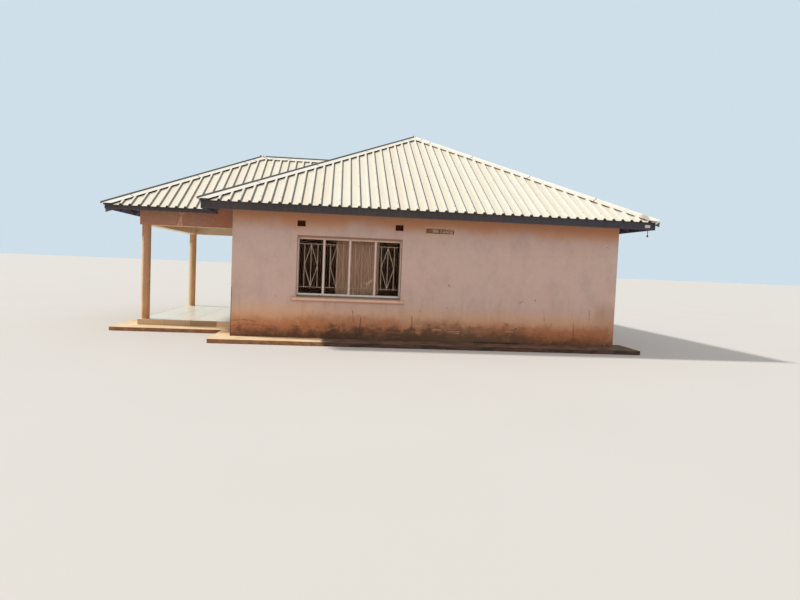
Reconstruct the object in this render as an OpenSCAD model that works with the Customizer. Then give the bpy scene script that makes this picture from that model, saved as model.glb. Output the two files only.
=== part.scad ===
// Small plastered house with a square plan, a pyramid roof of box-rib sheets
// and a verandah with its own hipped roof on the left side.
// X runs along the front wall, Y runs away from it, Z is up from the ground.

/* [House walls] */
// Outside length of each wall of the square plan
side = 8430; // [7400:10:9400]
// Thickness of the plastered brick walls
wall_t = 230; // [200:10:280]
// Height of the inside floor above the ground
floor_h = 250; // [180:5:350]

/* [Main roof] */
// Height of the sheet underside at its outer edge
eave_z = 2860; // [2650:10:3100]
// Pitch of the four slopes in degrees
pitch = 27; // [23:0.5:32]
// How far the sheets reach past the walls
eave = 590; // [450:10:700]
// How far the sheets reach past the fascia boards
drip = 45; // [20:5:80]
// Height of the main fascia boards
fascia_h = 178; // [150:2:220]
// Thickness of every fascia board
fascia_t = 22; // [15:1:30]

/* [Verandah] */
// Distance from the front wall plane to the front face of the verandah beam
ver_y = 1680; // [1500:10:2000]
// Length of the verandah over its beams
ver_len = 4860; // [4400:10:5000]
// Depth of the verandah from the house wall to the outer beam face
ver_deep = 2395; // [2100:5:2700]
// Pitch of the verandah slopes in degrees
ver_pitch = 29; // [26:0.5:32]
// How far the verandah sheets reach past the beams
ver_eave = 630; // [500:10:750]
// How far the verandah eave lies below the main eave
ver_drop = 55; // [20:5:120]
// Height of the verandah fascia boards
ver_fascia_h = 112; // [90:2:150]
// Width of the plastered beams
beam_w = 240; // [200:10:280]
// Height of the beam underside above the ground
beam_z = 2432; // [2300:2:2560]
// Diameter of the two round columns
column_d = 200; // [160:5:230]
// Height of the tiled verandah floor above the ground
ver_floor_h = 225; // [150:5:240]
// How far the verandah floor reaches past the beam faces
nosing = 12; // [0:1:40]

/* [Apron] */
// Height of the concrete apron
apron_h = 90; // [60:5:130]
// Width of the apron along the front and back walls
apron_front = 600; // [450:10:750]
// Width of the apron along the side walls
apron_side = 350; // [250:10:450]
// Width of the step along the front and back of the verandah
step_front = 586; // [450:2:700]
// Width of the step along the outer side of the verandah
step_side = 435; // [300:5:600]

/* [Roof sheets] */
// Distance from rib to rib
rib_pitch = 200; // [180:2:220]
// Height of a rib
rib_h = 34; // [26:1:42]
// Width of a rib along its crown
rib_top = 34; // [26:2:44]
// Width of a rib at its foot
rib_foot = 74; // [60:2:90]
// Thickness of the sheet
sheet_t = 5; // [3:0.5:8]
// Gap between a sheet's cut edge and the roll of its cap
sheet_gap = 4; // [2:1:12]
// Width of each wing of a hip or ridge cap, measured in plan
cap_w = 165; // [120:5:220]
// Thickness of the caps and the valley gutters
cap_t = 4; // [3:0.5:6]
// How far the caps reach past the sheets' outer edge
cap_out = 22; // [10:1:40]
// Diameter of the roll along the top of every cap
roll_d = 46; // [36:2:60]
// Side of the small square block that closes the rolls where hips meet
knob_w = 84; // [70:2:110]
// Width of each wing of a valley gutter, measured in plan
gutter_w = 150; // [120:5:200]
// Width left open between the verandah sheets and the fold of the gutter
gutter_open = 45; // [30:5:80]

/* [Roof timbers] */
// Depth of the rafters
rafter_d = 114; // [100:2:130]
// Thickness of rafters
rafter_t = 38; // [32:2:50]
// Number of rafter bays from the middle of a main slope to its corner
rafter_bays = 4; // [4:1:6]
// Depth of the purlins
purlin_d = 50; // [38:2:60]
// Width of the purlins
purlin_w = 76; // [50:2:90]
// Number of purlin rows on a main slope
purlin_rows = 6; // [5:1:7]
// Number of rafter bays on half of a verandah slope
ver_bays = 3; // [3:1:4]
// Number of purlin rows on a verandah slope
ver_purlin_rows = 4; // [4:1:5]
// Depth of the verandah rafters
ver_rafter_d = 76; // [60:2:90]
// Depth of the verandah purlins
ver_purlin_d = 38; // [30:2:50]
// Thickness of the hip rafters and ridge board
hip_t = 50; // [38:2:60]
// Height of the hip rafters, measured plumb
hip_d = 190; // [160:5:230]
// Side of the king post
post_w = 110; // [90:5:140]
// Length of the king post below the hip rafters
post_drop = 180; // [100:10:400]
// Thickness of the wall plates
plate_t = 38; // [30:2:50]
// Width of the wall plates
plate_w = 114; // [90:2:130]
// Depth of the seat cut in each rafter
seat_cut = 10; // [6:1:16]

/* [Windows] */
// Width of a four-light window opening
win_w = 2227; // [1900:1:2400]
// Height of every window opening
win_h = 1232; // [1000:2:1400]
// Height of the window openings above the ground
win_z = 1009; // [900:1:1100]
// Distance from the left end of the front wall to its window
win_x = 1356; // [900:2:1600]
// Width of the two-light window beside the door
small_win_w = 1128; // [1000:2:1200]
// Distance from the outer wall face to the window frame
win_set = 85; // [50:5:120]
// Width of the outer bars of a window frame
bar_w = 38; // [28:1:46]
// Width of the mullions between the lights
mullion_w = 56; // [44:2:66]
// Depth of the steel frame bars
bar_d = 36; // [28:1:45]
// Thickness of the window panes
glass_t = 5; // [4:1:8]
// Thickness of a sill at its front edge
sill_t = 55; // [40:5:70]
// Fall of a sill's top from the window frame to its front edge
sill_fall = 62; // [40:2:80]
// How far a sill stands out from the wall
sill_out = 60; // [40:5:90]
// How far a sill reaches past each side of its window
sill_ear = 85; // [50:5:120]

/* [Door] */
// Width of the doorway
door_w = 880; // [820:5:960]
// Height of the doorway above the inside floor
door_h = 2070; // [2040:5:2100]
// Distance from the front wall plane to the doorway
door_y = 4600; // [4450:10:4800]
// Width of the door frame
jamb_w = 40; // [30:2:50]
// Depth of the sunk panels in the door leaf
panel_sink = 9; // [5:1:14]
// Width of the stiles and rails round the door panels
stile_w = 110; // [90:5:130]
// Depth of the door frame
jamb_d = 110; // [90:5:130]
// Thickness of the door leaf
leaf_t = 42; // [35:1:50]
// Running gap round the door leaf
leaf_gap = 3; // [2:0.5:5]

/* [Air vents] */
// Width of an air vent
vent_w = 172; // [140:4:220]
// Height of an air vent
vent_h = 126; // [100:2:150]
// Height of the vents' middle above the ground
vent_z = 2526; // [2480:2:2600]
// Distance from each end of the window to the middle of its vent
vent_in = 70; // [40:5:120]
// Distance from the outer wall face to a vent grille
vent_set = 60; // [30:5:90]
// Thickness of a vent grille
vent_d = 24; // [18:2:40]
// Number of upright bars in a vent grille
vent_bars = 4; // [3:1:5]

/* [Broken plaster] */
// Width of the long shallow hole in the front wall
hole_w = 610; // [500:10:700]
// Height of the hole
hole_h = 108; // [80:2:130]
// Depth of the hole
hole_d = 28; // [15:1:40]
// Distance from the left end of the wall to the hole
hole_x = 4094; // [3900:2:4300]
// Height of the hole's middle above the ground
hole_z = 2494; // [2450:2:2560]

/* [Hidden] */
$fn = 64;

// Colours
plaster_color = [0.70, 0.58, 0.53];
roof_color = [0.93, 0.88, 0.77];
fascia_color = [0.22, 0.19, 0.22];
concrete_color = [0.62, 0.57, 0.48];
tile_color = [0.95, 0.93, 0.82];
timber_color = [0.45, 0.33, 0.22];
steel_color = [0.80, 0.79, 0.76];
glass_color = [0.60, 0.70, 0.72];

// Roof geometry
mid = side / 2;
x_out = -eave;
far_out = side + eave;
run = mid + eave;
rise = tan(pitch);
slope_len = run / cos(pitch);
frame_d = (purlin_d + rafter_d) / cos(pitch);
plate_top = eave_z + eave * rise - frame_d + seat_cut;
wall_top = plate_top - plate_t;
hip_side = hip_t / 2 * sqrt(2);
hip_gap = (roll_d / 2 + sheet_gap) * sqrt(2);
roll_sides = 16;
tall = eave_z + slope_len;
rafter_gap = run / rafter_bays;
purlin_gap = slope_len / purlin_rows;
fill_w = (wall_t - plate_w) / 2;
crown = rib_h + sheet_t;
crown_z = crown / cos(pitch);

// Verandah roof geometry
ver_eave_z = eave_z - ver_drop;
ver_rise = tan(ver_pitch);
v_x0 = -ver_deep - ver_eave;
v_y0 = ver_y - ver_eave;
v_y1 = ver_y + ver_len + ver_eave;
v_mid = (v_y0 + v_y1) / 2;
v_run = (v_y1 - v_y0) / 2;
v_slope_len = v_run / cos(ver_pitch);
v_apex_x = v_x0 + v_run;
v_ridge_z = ver_eave_z + v_run * ver_rise;
valley_y = v_y0 + ver_drop / ver_rise;
valley_top_x = x_out + (v_ridge_z - eave_z) / rise;
valley_dy = sqrt(1 + pow(rise / ver_rise, 2));
v_frame_d = (ver_purlin_d + ver_rafter_d) / cos(ver_pitch);
v_tail = drip + fascia_t;
beam_top = ver_eave_z + ver_eave * ver_rise - v_frame_d + seat_cut;
v_clear = (v_frame_d + crown_z) / ver_rise / valley_dy;
fold_d = (crown + cap_t) / cos(pitch) / ver_rise / valley_dy;
ver_rafter_gap = v_run / ver_bays;
ver_purlin_gap = v_slope_len / ver_purlin_rows;

// Outline of the whole object, for the origin at the middle of its base
x_low = v_x0 - cap_out;
x_high = far_out + cap_out;
y_low = x_out - cap_out;
y_high = far_out + cap_out;
x_origin = (x_low + x_high) / 2;
y_origin = (y_low + y_high) / 2;

// Openings in the left wall
small_win_y = ver_y + beam_w + (door_y - ver_y - beam_w - small_win_w) / 2;

// Moves the house so that the origin is at the middle of its base
module site() {
  translate([-x_origin, -y_origin, 0]) children();
}

// Turns a piece of the front side to the side numbered k, counterclockwise from above
module around(k) {
  translate([mid, mid, 0]) rotate([0, 0, 90 * k]) translate([-mid, -mid, 0]) children();
}

// Mirrors a piece of the verandah's front half to its back half
module far_half() {
  translate([0, v_mid, 0]) mirror([0, 1, 0]) translate([0, -v_mid, 0]) children();
}

// Places a child drawn in a slope's own plane on the front slope of the main roof
module on_slope() {
  translate([mid, x_out, eave_z]) rotate([pitch, 0, 0]) children();
}

// The same for the front and the outer slope of the verandah roof
module on_verandah_slope() {
  translate([0, v_y0, ver_eave_z]) rotate([ver_pitch, 0, 0]) children();
}
module on_verandah_side() {
  translate([v_x0, v_mid, ver_eave_z]) rotate([0, 0, -90]) rotate([ver_pitch, 0, 0]) children();
}

// Keeps the part of a piece that stands over a plan outline
module over_plan() {
  intersection() {
    children(0);
    linear_extrude(height = tall) children(1);
  }
}

// Box-rib sheet in its slope's plane: ribs run up the slope, pans rest on the purlins
function rib_points(u) = [
  [u - rib_foot / 2, 0], [u - rib_top / 2, rib_h], [u + rib_top / 2, rib_h], [u + rib_foot / 2, 0]
];
module rib_sheet(first, ribs, length) {
  crest = [for (i = [0 : ribs - 1], p = rib_points(first + i * rib_pitch)) p];
  under = concat([[first - rib_pitch, 0]], crest, [[first + ribs * rib_pitch, 0]]);
  over = [for (i = [len(under) - 1 : -1 : 0]) under[i] + [0, sheet_t]];
  translate([0, length, 0]) rotate([90, 0, 0])
    linear_extrude(height = length) polygon(concat(under, over));
}

// Plan outlines of the main slopes; gap keeps clear of the hips, inset moves the eave in
module slope_plan(gap, inset, top) {
  polygon([
    [x_out + inset + gap, x_out + inset], [far_out - inset - gap, x_out + inset],
    [mid + top, mid - top - gap], [mid - top, mid - top - gap]
  ]);
}

// Line of the front valley at a given X, moved toward the verandah by d in plan
function valley_at(x, d) = valley_y + (x - x_out) * rise / ver_rise + d * valley_dy;

// Ground that the verandah roof takes out of the left slope of the main roof
module valley_wedge(d) {
  polygon([
    [x_out - eave, valley_at(x_out - eave, d)],
    [valley_top_x - d * valley_dy * ver_rise / rise, v_mid],
    [x_out - eave, 2 * v_mid - valley_at(x_out - eave, d)]
  ]);
}

// Plan outline of the verandah's front slope
module verandah_front_plan(gap, inset, ridge_gap, valley_gap) {
  dx = valley_gap * valley_dy * ver_rise / rise;
  polygon([
    [v_x0 + inset + gap, v_y0 + inset], [x_out - gap, v_y0 + inset],
    [x_out - gap, valley_at(x_out, valley_gap)],
    [valley_top_x - dx - ridge_gap * ver_rise / rise, v_mid - ridge_gap],
    [v_apex_x + max(gap - ridge_gap, 0), v_mid - ridge_gap]
  ]);
}

// Plan outline of the verandah's outer slope
module verandah_side_plan(gap, inset) {
  polygon([
    [v_x0 + inset, v_y0 + inset + gap], [v_x0 + inset, v_y1 - inset - gap],
    [v_apex_x - gap, v_mid]
  ]);
}

// Ground, apron and floors
module floor_slab() {
  color(concrete_color) translate([wall_t, wall_t, 0])
    cube([side - 2 * wall_t, side - 2 * wall_t, floor_h]);
}

module verandah_floor_plan() {
  translate([-ver_deep - nosing, ver_y - nosing])
    square([ver_deep + nosing, ver_len + 2 * nosing]);
}

module apron() {
  step_x = -ver_deep - nosing - step_side;
  step_y0 = ver_y - nosing - step_front;
  step_y1 = ver_y + ver_len + nosing + step_front;
  color(concrete_color) linear_extrude(height = apron_h) difference() {
    polygon([
      [-apron_side, -apron_front], [side + apron_side, -apron_front],
      [side + apron_side, side + apron_front], [-apron_side, side + apron_front],
      [-apron_side, step_y1], [step_x, step_y1], [step_x, step_y0], [-apron_side, step_y0]
    ]);
    square(side);
    verandah_floor_plan();
  }
}

module verandah_floor() {
  color(tile_color) linear_extrude(height = ver_floor_h) verandah_floor_plan();
}

// Cut for one window through a wall that lies along X, with the notch for its sill
module window_cut(x, w) {
  under = sill_t + sill_fall;
  translate([x, -wall_t, win_z]) cube([w, 3 * wall_t, win_h]);
  translate([x, -wall_t, win_z - under]) cube([w, wall_t + win_set, under + bar_w]);
}

module vent_cut(x) {
  translate([x - vent_w / 2, -wall_t, vent_z - vent_h / 2]) cube([vent_w, 3 * wall_t, vent_h]);
}

// Space under the sheets of all four slopes
module under_roof() {
  intersection_for (k = [0 : 3]) around(k)
    on_slope() translate([-2 * run, -run, -3 * run]) cube([4 * run, 4 * run, 3 * run]);
}

// Bricks between the rafters close each wall's outer edge up to the sheets
module wall_fill() {
  difference() {
    intersection() {
      translate([0, 0, wall_top]) linear_extrude(height = run) difference() {
        square([side, wall_t]);
        translate([fill_w, fill_w]) square([side - 2 * fill_w, wall_t]);
      }
      under_roof();
    }
    for (k = [-1 : 1]) around(k) on_slope() main_grid();
    hip_rafters();
  }
}

// A long wall with one four-light window and a vent over each end of the window
module long_wall() {
  difference() {
    cube([side, wall_t, wall_top]);
    window_cut(win_x, win_w);
    vent_cut(win_x + vent_in);
    vent_cut(win_x + win_w - vent_in);
  }
  wall_fill();
}

module front_wall() {
  color(plaster_color) difference() {
    long_wall();
    translate([hole_x, -hole_d, hole_z - hole_h / 2]) cube([hole_w, 2 * hole_d, hole_h]);
  }
}

module back_wall() {
  color(plaster_color) around(2) long_wall();
}

// The side walls stand between the long walls
module short_wall() {
  translate([wall_t, 0, 0]) cube([side - 2 * wall_t, wall_t, wall_top]);
  intersection() {
    wall_fill();
    translate([wall_t, 0, 0]) cube([side - 2 * wall_t, wall_t, tall]);
  }
}

module right_wall() {
  color(plaster_color) around(1) difference() {
    short_wall();
    window_cut(mid - win_w / 2, win_w);
  }
}

// Along the left side, the distance from the front counts down from the far end
function left_x(y, w) = side - y - w;

module left_wall() {
  color(plaster_color) around(-1) difference() {
    short_wall();
    window_cut(left_x(small_win_y, small_win_w), small_win_w);
    translate([left_x(door_y, door_w), -wall_t, floor_h])
      cube([door_w, 3 * wall_t, door_h]);
    translate([left_x(door_y, door_w), -wall_t, ver_floor_h])
      cube([door_w, wall_t + wall_t / 2, floor_h]);
  }
}

// Verandah columns and beams
module column(y) {
  color(plaster_color) translate([-ver_deep + beam_w / 2, y, ver_floor_h])
    cylinder(h = beam_z - ver_floor_h, d = column_d);
}
module near_column() { column(ver_y + beam_w / 2); }
module far_column() { column(ver_y + ver_len - beam_w / 2); }

module front_beam() {
  color(plaster_color) translate([-ver_deep, ver_y, beam_z])
    cube([ver_deep, beam_w, beam_top - beam_z]);
}
module side_beam() {
  color(plaster_color) translate([-ver_deep, ver_y + beam_w, beam_z])
    cube([beam_w, ver_len - 2 * beam_w, beam_top - beam_z]);
}
module back_beam() {
  far_half() front_beam();
}

// Steel window frame: outer bars and a mullion between every two lights
function light_w(w, lights) = (w - 2 * bar_w - (lights - 1) * mullion_w) / lights;
module lights_of(w, lights, depth) {
  for (i = [0 : lights - 1])
    translate([bar_w + i * (light_w(w, lights) + mullion_w), 0, bar_w])
      cube([light_w(w, lights), depth, win_h - 2 * bar_w]);
}

module window_frame(x, w, lights) {
  color(steel_color) translate([x, win_set, win_z]) difference() {
    cube([w, bar_d, win_h]);
    translate([0, -bar_d, 0]) lights_of(w, lights, 3 * bar_d);
  }
}

module window_panes(x, w, lights) {
  color(glass_color) translate([x, win_set + (bar_d - glass_t) / 2, win_z])
    lights_of(w, lights, glass_t);
}

// Plastered sill: its top falls outward and its ears run past the window on the wall face
module sill(x, w) {
  under = -sill_fall - sill_t;
  face = -sill_fall * win_set / (win_set + sill_out);
  translate([x, 0, win_z]) rotate([90, 0, 90]) linear_extrude(height = w)
    polygon([[-sill_out, under], [win_set, under], [win_set, 0], [-sill_out, -sill_fall]]);
  translate([x - sill_ear, 0, win_z]) rotate([90, 0, 90]) linear_extrude(height = w + 2 * sill_ear)
    polygon([[-sill_out, under], [0, under], [0, face], [-sill_out, -sill_fall]]);
}

module front_window_frame() { window_frame(win_x, win_w, 4); }
module front_window_panes() { window_panes(win_x, win_w, 4); }
module back_window_frame() { around(2) window_frame(win_x, win_w, 4); }
module back_window_panes() { around(2) window_panes(win_x, win_w, 4); }
module right_window_frame() { around(1) window_frame(mid - win_w / 2, win_w, 4); }
module right_window_panes() { around(1) window_panes(mid - win_w / 2, win_w, 4); }
module left_window_frame() {
  around(-1) window_frame(left_x(small_win_y, small_win_w), small_win_w, 2);
}
module left_window_panes() {
  around(-1) window_panes(left_x(small_win_y, small_win_w), small_win_w, 2);
}

module window_sills() {
  color(plaster_color) {
    sill(win_x, win_w);
    around(2) sill(win_x, win_w);
    around(1) sill(mid - win_w / 2, win_w);
    around(-1) sill(left_x(small_win_y, small_win_w), small_win_w);
  }
}

// Door frame with a threshold, and its closed leaf
module door_frame() {
  color(fascia_color) around(-1)
    translate([left_x(door_y, door_w), wall_t / 2 - jamb_d / 2, floor_h]) difference() {
      cube([door_w, jamb_d, door_h]);
      translate([jamb_w, -jamb_d, 0])
        cube([door_w - 2 * jamb_w, 3 * jamb_d, door_h - jamb_w]);
    }
}

// Panelled leaf: two columns of three sunk panels on each face
module door_leaf() {
  leaf_w = door_w - 2 * jamb_w - 2 * leaf_gap;
  leaf_h = door_h - jamb_w - leaf_gap;
  panel_w = (leaf_w - 3 * stile_w) / 2;
  panel_h = (leaf_h - 4 * stile_w) / 3;
  color(timber_color) around(-1)
    translate([left_x(door_y, door_w) + jamb_w + leaf_gap, wall_t / 2 - leaf_t / 2, floor_h])
      difference() {
        cube([leaf_w, leaf_t, leaf_h]);
        for (i = [0, 1], j = [0 : 2], back = [0, 1])
          translate([stile_w + i * (panel_w + stile_w), back * leaf_t - panel_sink,
            stile_w + j * (panel_h + stile_w)])
            cube([panel_w, 2 * panel_sink, panel_h]);
      }
}

// Barred vent grille set back in its hole
module vent(x) {
  slot_w = vent_w / (2 * vent_bars + 1);
  rim = vent_h / 10;
  translate([x - vent_w / 2, vent_set, vent_z - vent_h / 2]) difference() {
    cube([vent_w, vent_d, vent_h]);
    for (i = [0 : vent_bars - 1])
      translate([(2 * i + 1) * slot_w, -vent_d, rim])
        cube([slot_w, 3 * vent_d, vent_h - 2 * rim]);
  }
}

module air_vents() {
  color(concrete_color) for (k = [0, 2]) around(k) {
    vent(win_x + vent_in);
    vent(win_x + win_w - vent_in);
  }
}

// Wall plates lie along the middle of the walls
module plate_ring(extra) {
  edge = (wall_t - plate_w) / 2;
  translate([0, 0, plate_top - plate_t]) linear_extrude(height = plate_t + extra) difference() {
    translate([edge, edge]) square(side - 2 * edge);
    translate([edge + plate_w, edge + plate_w]) square(side - 2 * edge - 2 * plate_w);
  }
}
module wall_plates() {
  color(timber_color) plate_ring(0);
}

// A plumb board along a hip: p is its outer end in plan, turned by angle, over a plan length
module hip_board(p, angle, length, z, grade) {
  drop = hip_side / 2 * grade * sqrt(2);
  translate([p[0], p[1], z - drop]) rotate([90, 0, angle])
    translate([0, 0, -hip_t / 2]) linear_extrude(height = hip_t)
      polygon([[0, -hip_d], [length, length * grade - hip_d], [length, length * grade], [0, 0]]);
}

module hip_rafters() {
  start = x_out + drip + fascia_t;
  length = (mid - start) * sqrt(2);
  grade = rise / sqrt(2);
  top = eave_z + (mid - x_out) * rise - hip_side * rise;
  post = top - hip_d - post_drop;
  color(timber_color) difference() {
    union() {
      for (k = [0 : 3]) around(k)
        hip_board([start, start], 45, length, eave_z + (drip + fascia_t) * rise, grade);
      translate([mid, mid, post]) rotate([0, 0, 45]) translate([-post_w / 2, -post_w / 2, 0])
        cube([post_w, post_w, top - post - post_w * rise]);
    }
    plate_ring(0);
  }
}

// Rafters and the purlins on them, in a slope's own plane
module timber_grid(width, length, first, last, step, raft_d, purl_d, gap) {
  for (i = [first : last])
    translate([i * step - rafter_t / 2, 0, -purl_d - raft_d])
      cube([rafter_t, length, raft_d]);
  for (v = [gap / 4 : gap : length])
    translate([-width / 2, v, -purl_d]) cube([width, purlin_w, purl_d]);
}

module main_grid() {
  timber_grid(2 * run, slope_len, 1 - rafter_bays, rafter_bays - 1, rafter_gap,
    rafter_d, purlin_d, purlin_gap);
}

module slope_timbers() {
  difference() {
    over_plan() {
      on_slope() main_grid();
      slope_plan(hip_side, drip + fascia_t, post_w);
    }
    plate_ring(0);
  }
}

module front_rafters() { color(timber_color) slope_timbers(); }
module right_rafters() { color(timber_color) around(1) slope_timbers(); }
module back_rafters() { color(timber_color) around(2) slope_timbers(); }
module left_rafters() {
  color(timber_color) difference() {
    around(-1) slope_timbers();
    translate([x_out - eave, v_y0 + v_tail, 0])
      cube([2 * eave, v_y1 - v_y0 - 2 * v_tail, tall]);
  }
}

// Verandah timbers
module verandah_ridge_board() {
  start = v_x0 + v_tail;
  length = (v_apex_x - start) * sqrt(2);
  top = v_ridge_z - hip_t / 2 * ver_rise;
  end_x = x_out + (top - hip_d - eave_z - crown_z) / rise;
  color(timber_color) difference() {
    union() {
      hip_board([start, v_y0 + v_tail], 45, length, ver_eave_z + v_tail * ver_rise,
        ver_rise / sqrt(2));
      far_half() hip_board([start, v_y0 + v_tail], 45, length,
        ver_eave_z + v_tail * ver_rise, ver_rise / sqrt(2));
      translate([v_apex_x, v_mid - hip_t / 2, top - hip_d])
        cube([end_x - v_apex_x, hip_t, hip_d]);
    }
    front_beam();
    side_beam();
    back_beam();
  }
}

module verandah_front_timbers() {
  width = 4 * v_run;
  inner_end = valley_top_x - v_clear * valley_dy * ver_rise / rise;
  inner_gap = (inner_end - v_apex_x) / ver_bays;
  difference() {
    over_plan() {
      on_verandah_slope() translate([v_apex_x, 0, 0]) {
        timber_grid(width, v_slope_len, 1 - ver_bays, 0, ver_rafter_gap,
          ver_rafter_d, ver_purlin_d, ver_purlin_gap);
        timber_grid(width, v_slope_len, 1, ver_bays - 1, inner_gap,
          ver_rafter_d, ver_purlin_d, ver_purlin_gap);
      }
      verandah_front_plan(hip_side, v_tail, hip_t / 2, v_clear);
    }
    front_beam();
  }
}
module verandah_front_rafters() { color(timber_color) verandah_front_timbers(); }
module verandah_back_rafters() { color(timber_color) far_half() verandah_front_timbers(); }
module verandah_side_rafters() {
  color(timber_color) difference() {
    over_plan() {
      on_verandah_side() timber_grid(2 * v_run, v_slope_len, 1 - ver_bays, ver_bays - 1,
        ver_rafter_gap, ver_rafter_d, ver_purlin_d, ver_purlin_gap);
      verandah_side_plan(hip_side, v_tail);
    }
    side_beam();
    front_beam();
    back_beam();
  }
}

// Roof sheets
module main_sheet() {
  half = ceil(run / rib_pitch);
  on_slope() rib_sheet(-half * rib_pitch, 2 * half + 1, slope_len);
}
module main_slope() {
  over_plan() {
    main_sheet();
    slope_plan(hip_gap, 0, 0);
  }
}
module front_roof() { color(roof_color) main_slope(); }
module right_roof() { color(roof_color) around(1) main_slope(); }
module back_roof() { color(roof_color) around(2) main_slope(); }
// The left slope runs on under the verandah roof and stops over the wall's outer face
module left_roof() {
  color(roof_color) over_plan() {
    around(-1) main_sheet();
    difference() {
      around(-1) slope_plan(hip_gap, 0, 0);
      intersection() {
        valley_wedge(0);
        translate([x_out - eave, 0]) square([2 * eave - drip, side]);
      }
    }
  }
}

module verandah_front_sheet() {
  ribs = ceil((valley_top_x - v_x0) / rib_pitch) + 2;
  over_plan() {
    on_verandah_slope() rib_sheet(v_x0, ribs, v_slope_len);
    verandah_front_plan(hip_gap, 0, hip_gap, fold_d + gutter_open);
  }
}
module verandah_front_roof() { color(roof_color) verandah_front_sheet(); }
module verandah_back_roof() { color(roof_color) far_half() verandah_front_sheet(); }
module verandah_side_roof() {
  half = ceil(v_run / rib_pitch);
  color(roof_color) over_plan() {
    on_verandah_side() rib_sheet(-half * rib_pitch, 2 * half + 1, v_slope_len);
    verandah_side_plan(hip_gap, 0);
  }
}

// Hip caps: two wings that rest on the ribs, with a roll where they meet over the hip line
module cap_plate(width, length) {
  translate([-width / 2, -drip, crown]) cube([width, length + 2 * drip, cap_t]);
}
module roll(length, angle) {
  rim = [for (i = [0 : roll_sides - 1]) 360 * (i + 1 / 2) / roll_sides];
  rotate([0, angle, 0]) linear_extrude(height = length)
    polygon([for (a = rim) roll_d / 2 * [cos(a), sin(a)]]);
}
// Small square block where rolls meet
module knob(p, angle) {
  translate(p) rotate([0, 0, angle]) cube([knob_w, knob_w, roll_d + 2 * cap_t], center = true);
}
// A roll up a hip that starts at p and turns by 45 degrees in plan over a plan length
module hip_roll(p, plan_length, grade) {
  climb = atan(grade / sqrt(2));
  translate(p) rotate([0, 0, 45]) roll(plan_length * sqrt(2) / cos(climb), 90 - climb);
}
module cap_strip(a, b, out) {
  polygon([[a - out, a - out], [a - out + cap_w * sqrt(2), a - out], [b, b - cap_w * sqrt(2)], [b, b]]);
}
module half_cap() {
  over_plan() {
    on_slope() cap_plate(2 * run, slope_len);
    cap_strip(x_out, mid, cap_out);
  }
}
module hip_cap_ring(low, top) {
  for (k = [0 : 3]) around(k) {
    half_cap();
    translate([mid, 0, 0]) mirror([1, 0, 0]) translate([-mid, 0, 0]) half_cap();
    hip_roll([low, low, eave_z - cap_out * rise + top], mid - low - knob_w / 4, rise);
  }
  knob([mid, mid, eave_z + run * rise + top], 45);
}
module hip_caps() {
  low = x_out - cap_out;
  color(roof_color) over_plan() {
    hip_cap_ring(low, (crown + cap_t) / cos(pitch));
    translate([low, low]) square(2 * (mid - low));
  }
}

module verandah_caps() {
  out = cap_out;
  wide = cap_w * sqrt(2);
  lift = fold_d + gutter_open;
  end_x = valley_top_x - lift * valley_dy * ver_rise / rise;
  top = (crown + cap_t) / cos(ver_pitch);
  color(roof_color) {
    knob([v_apex_x, v_mid, v_ridge_z + top], 0);
    translate([v_apex_x + knob_w / 4, v_mid, v_ridge_z + top])
      roll(end_x - v_apex_x - knob_w / 4, 90);
  }
  color(roof_color) for (far = [0, 1]) translate([0, far * 2 * v_mid, 0]) mirror([0, far, 0]) {
    over_plan() {
      hip_roll([v_x0 - out, v_y0 - out, ver_eave_z - out * ver_rise + top],
        v_apex_x - v_x0 + out - knob_w / 4, ver_rise);
      translate([v_x0 - out, v_y0 - out]) square(2 * v_run);
    }
    over_plan() {
      on_verandah_slope() cap_plate(4 * v_run, v_slope_len);
      polygon([
        [v_x0 - out, v_y0 - out], [v_x0 - out + wide, v_y0 - out],
        [v_apex_x + cap_w * (sqrt(2) - 1), v_mid - cap_w],
        [end_x - cap_w * ver_rise / rise, v_mid - cap_w], [end_x, v_mid], [v_apex_x, v_mid]
      ]);
    }
    over_plan() {
      on_verandah_side() cap_plate(4 * v_run, v_slope_len);
      polygon([
        [v_x0 - out, v_y0 - out], [v_x0 - out, v_y0 - out + wide],
        [v_apex_x - wide, v_mid], [v_apex_x, v_mid]
      ]);
    }
  }
}

// Valley gutters: one wing lies on the ribs of the main slope, the other under the
// verandah sheets, and they meet in a fold
function valley_strip(d0, d1) = [
  [x_out, valley_at(x_out, d0)], [x_out, valley_at(x_out, d1)],
  [valley_top_x - d1 * valley_dy * ver_rise / rise, v_mid],
  [valley_top_x - d0 * valley_dy * ver_rise / rise, v_mid]
];
module front_valley_gutter() {
  over_plan() {
    around(-1) on_slope() cap_plate(2 * run, slope_len);
    polygon(valley_strip(fold_d, fold_d - gutter_w));
  }
  over_plan() {
    on_verandah_slope() translate([v_x0, 0, -cap_t])
      cube([2 * v_run + 2 * run, v_slope_len, cap_t]);
    polygon(valley_strip(fold_d + gutter_w, fold_d));
  }
}
module valley_gutters() {
  color(roof_color) {
    front_valley_gutter();
    far_half() front_valley_gutter();
  }
}

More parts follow.
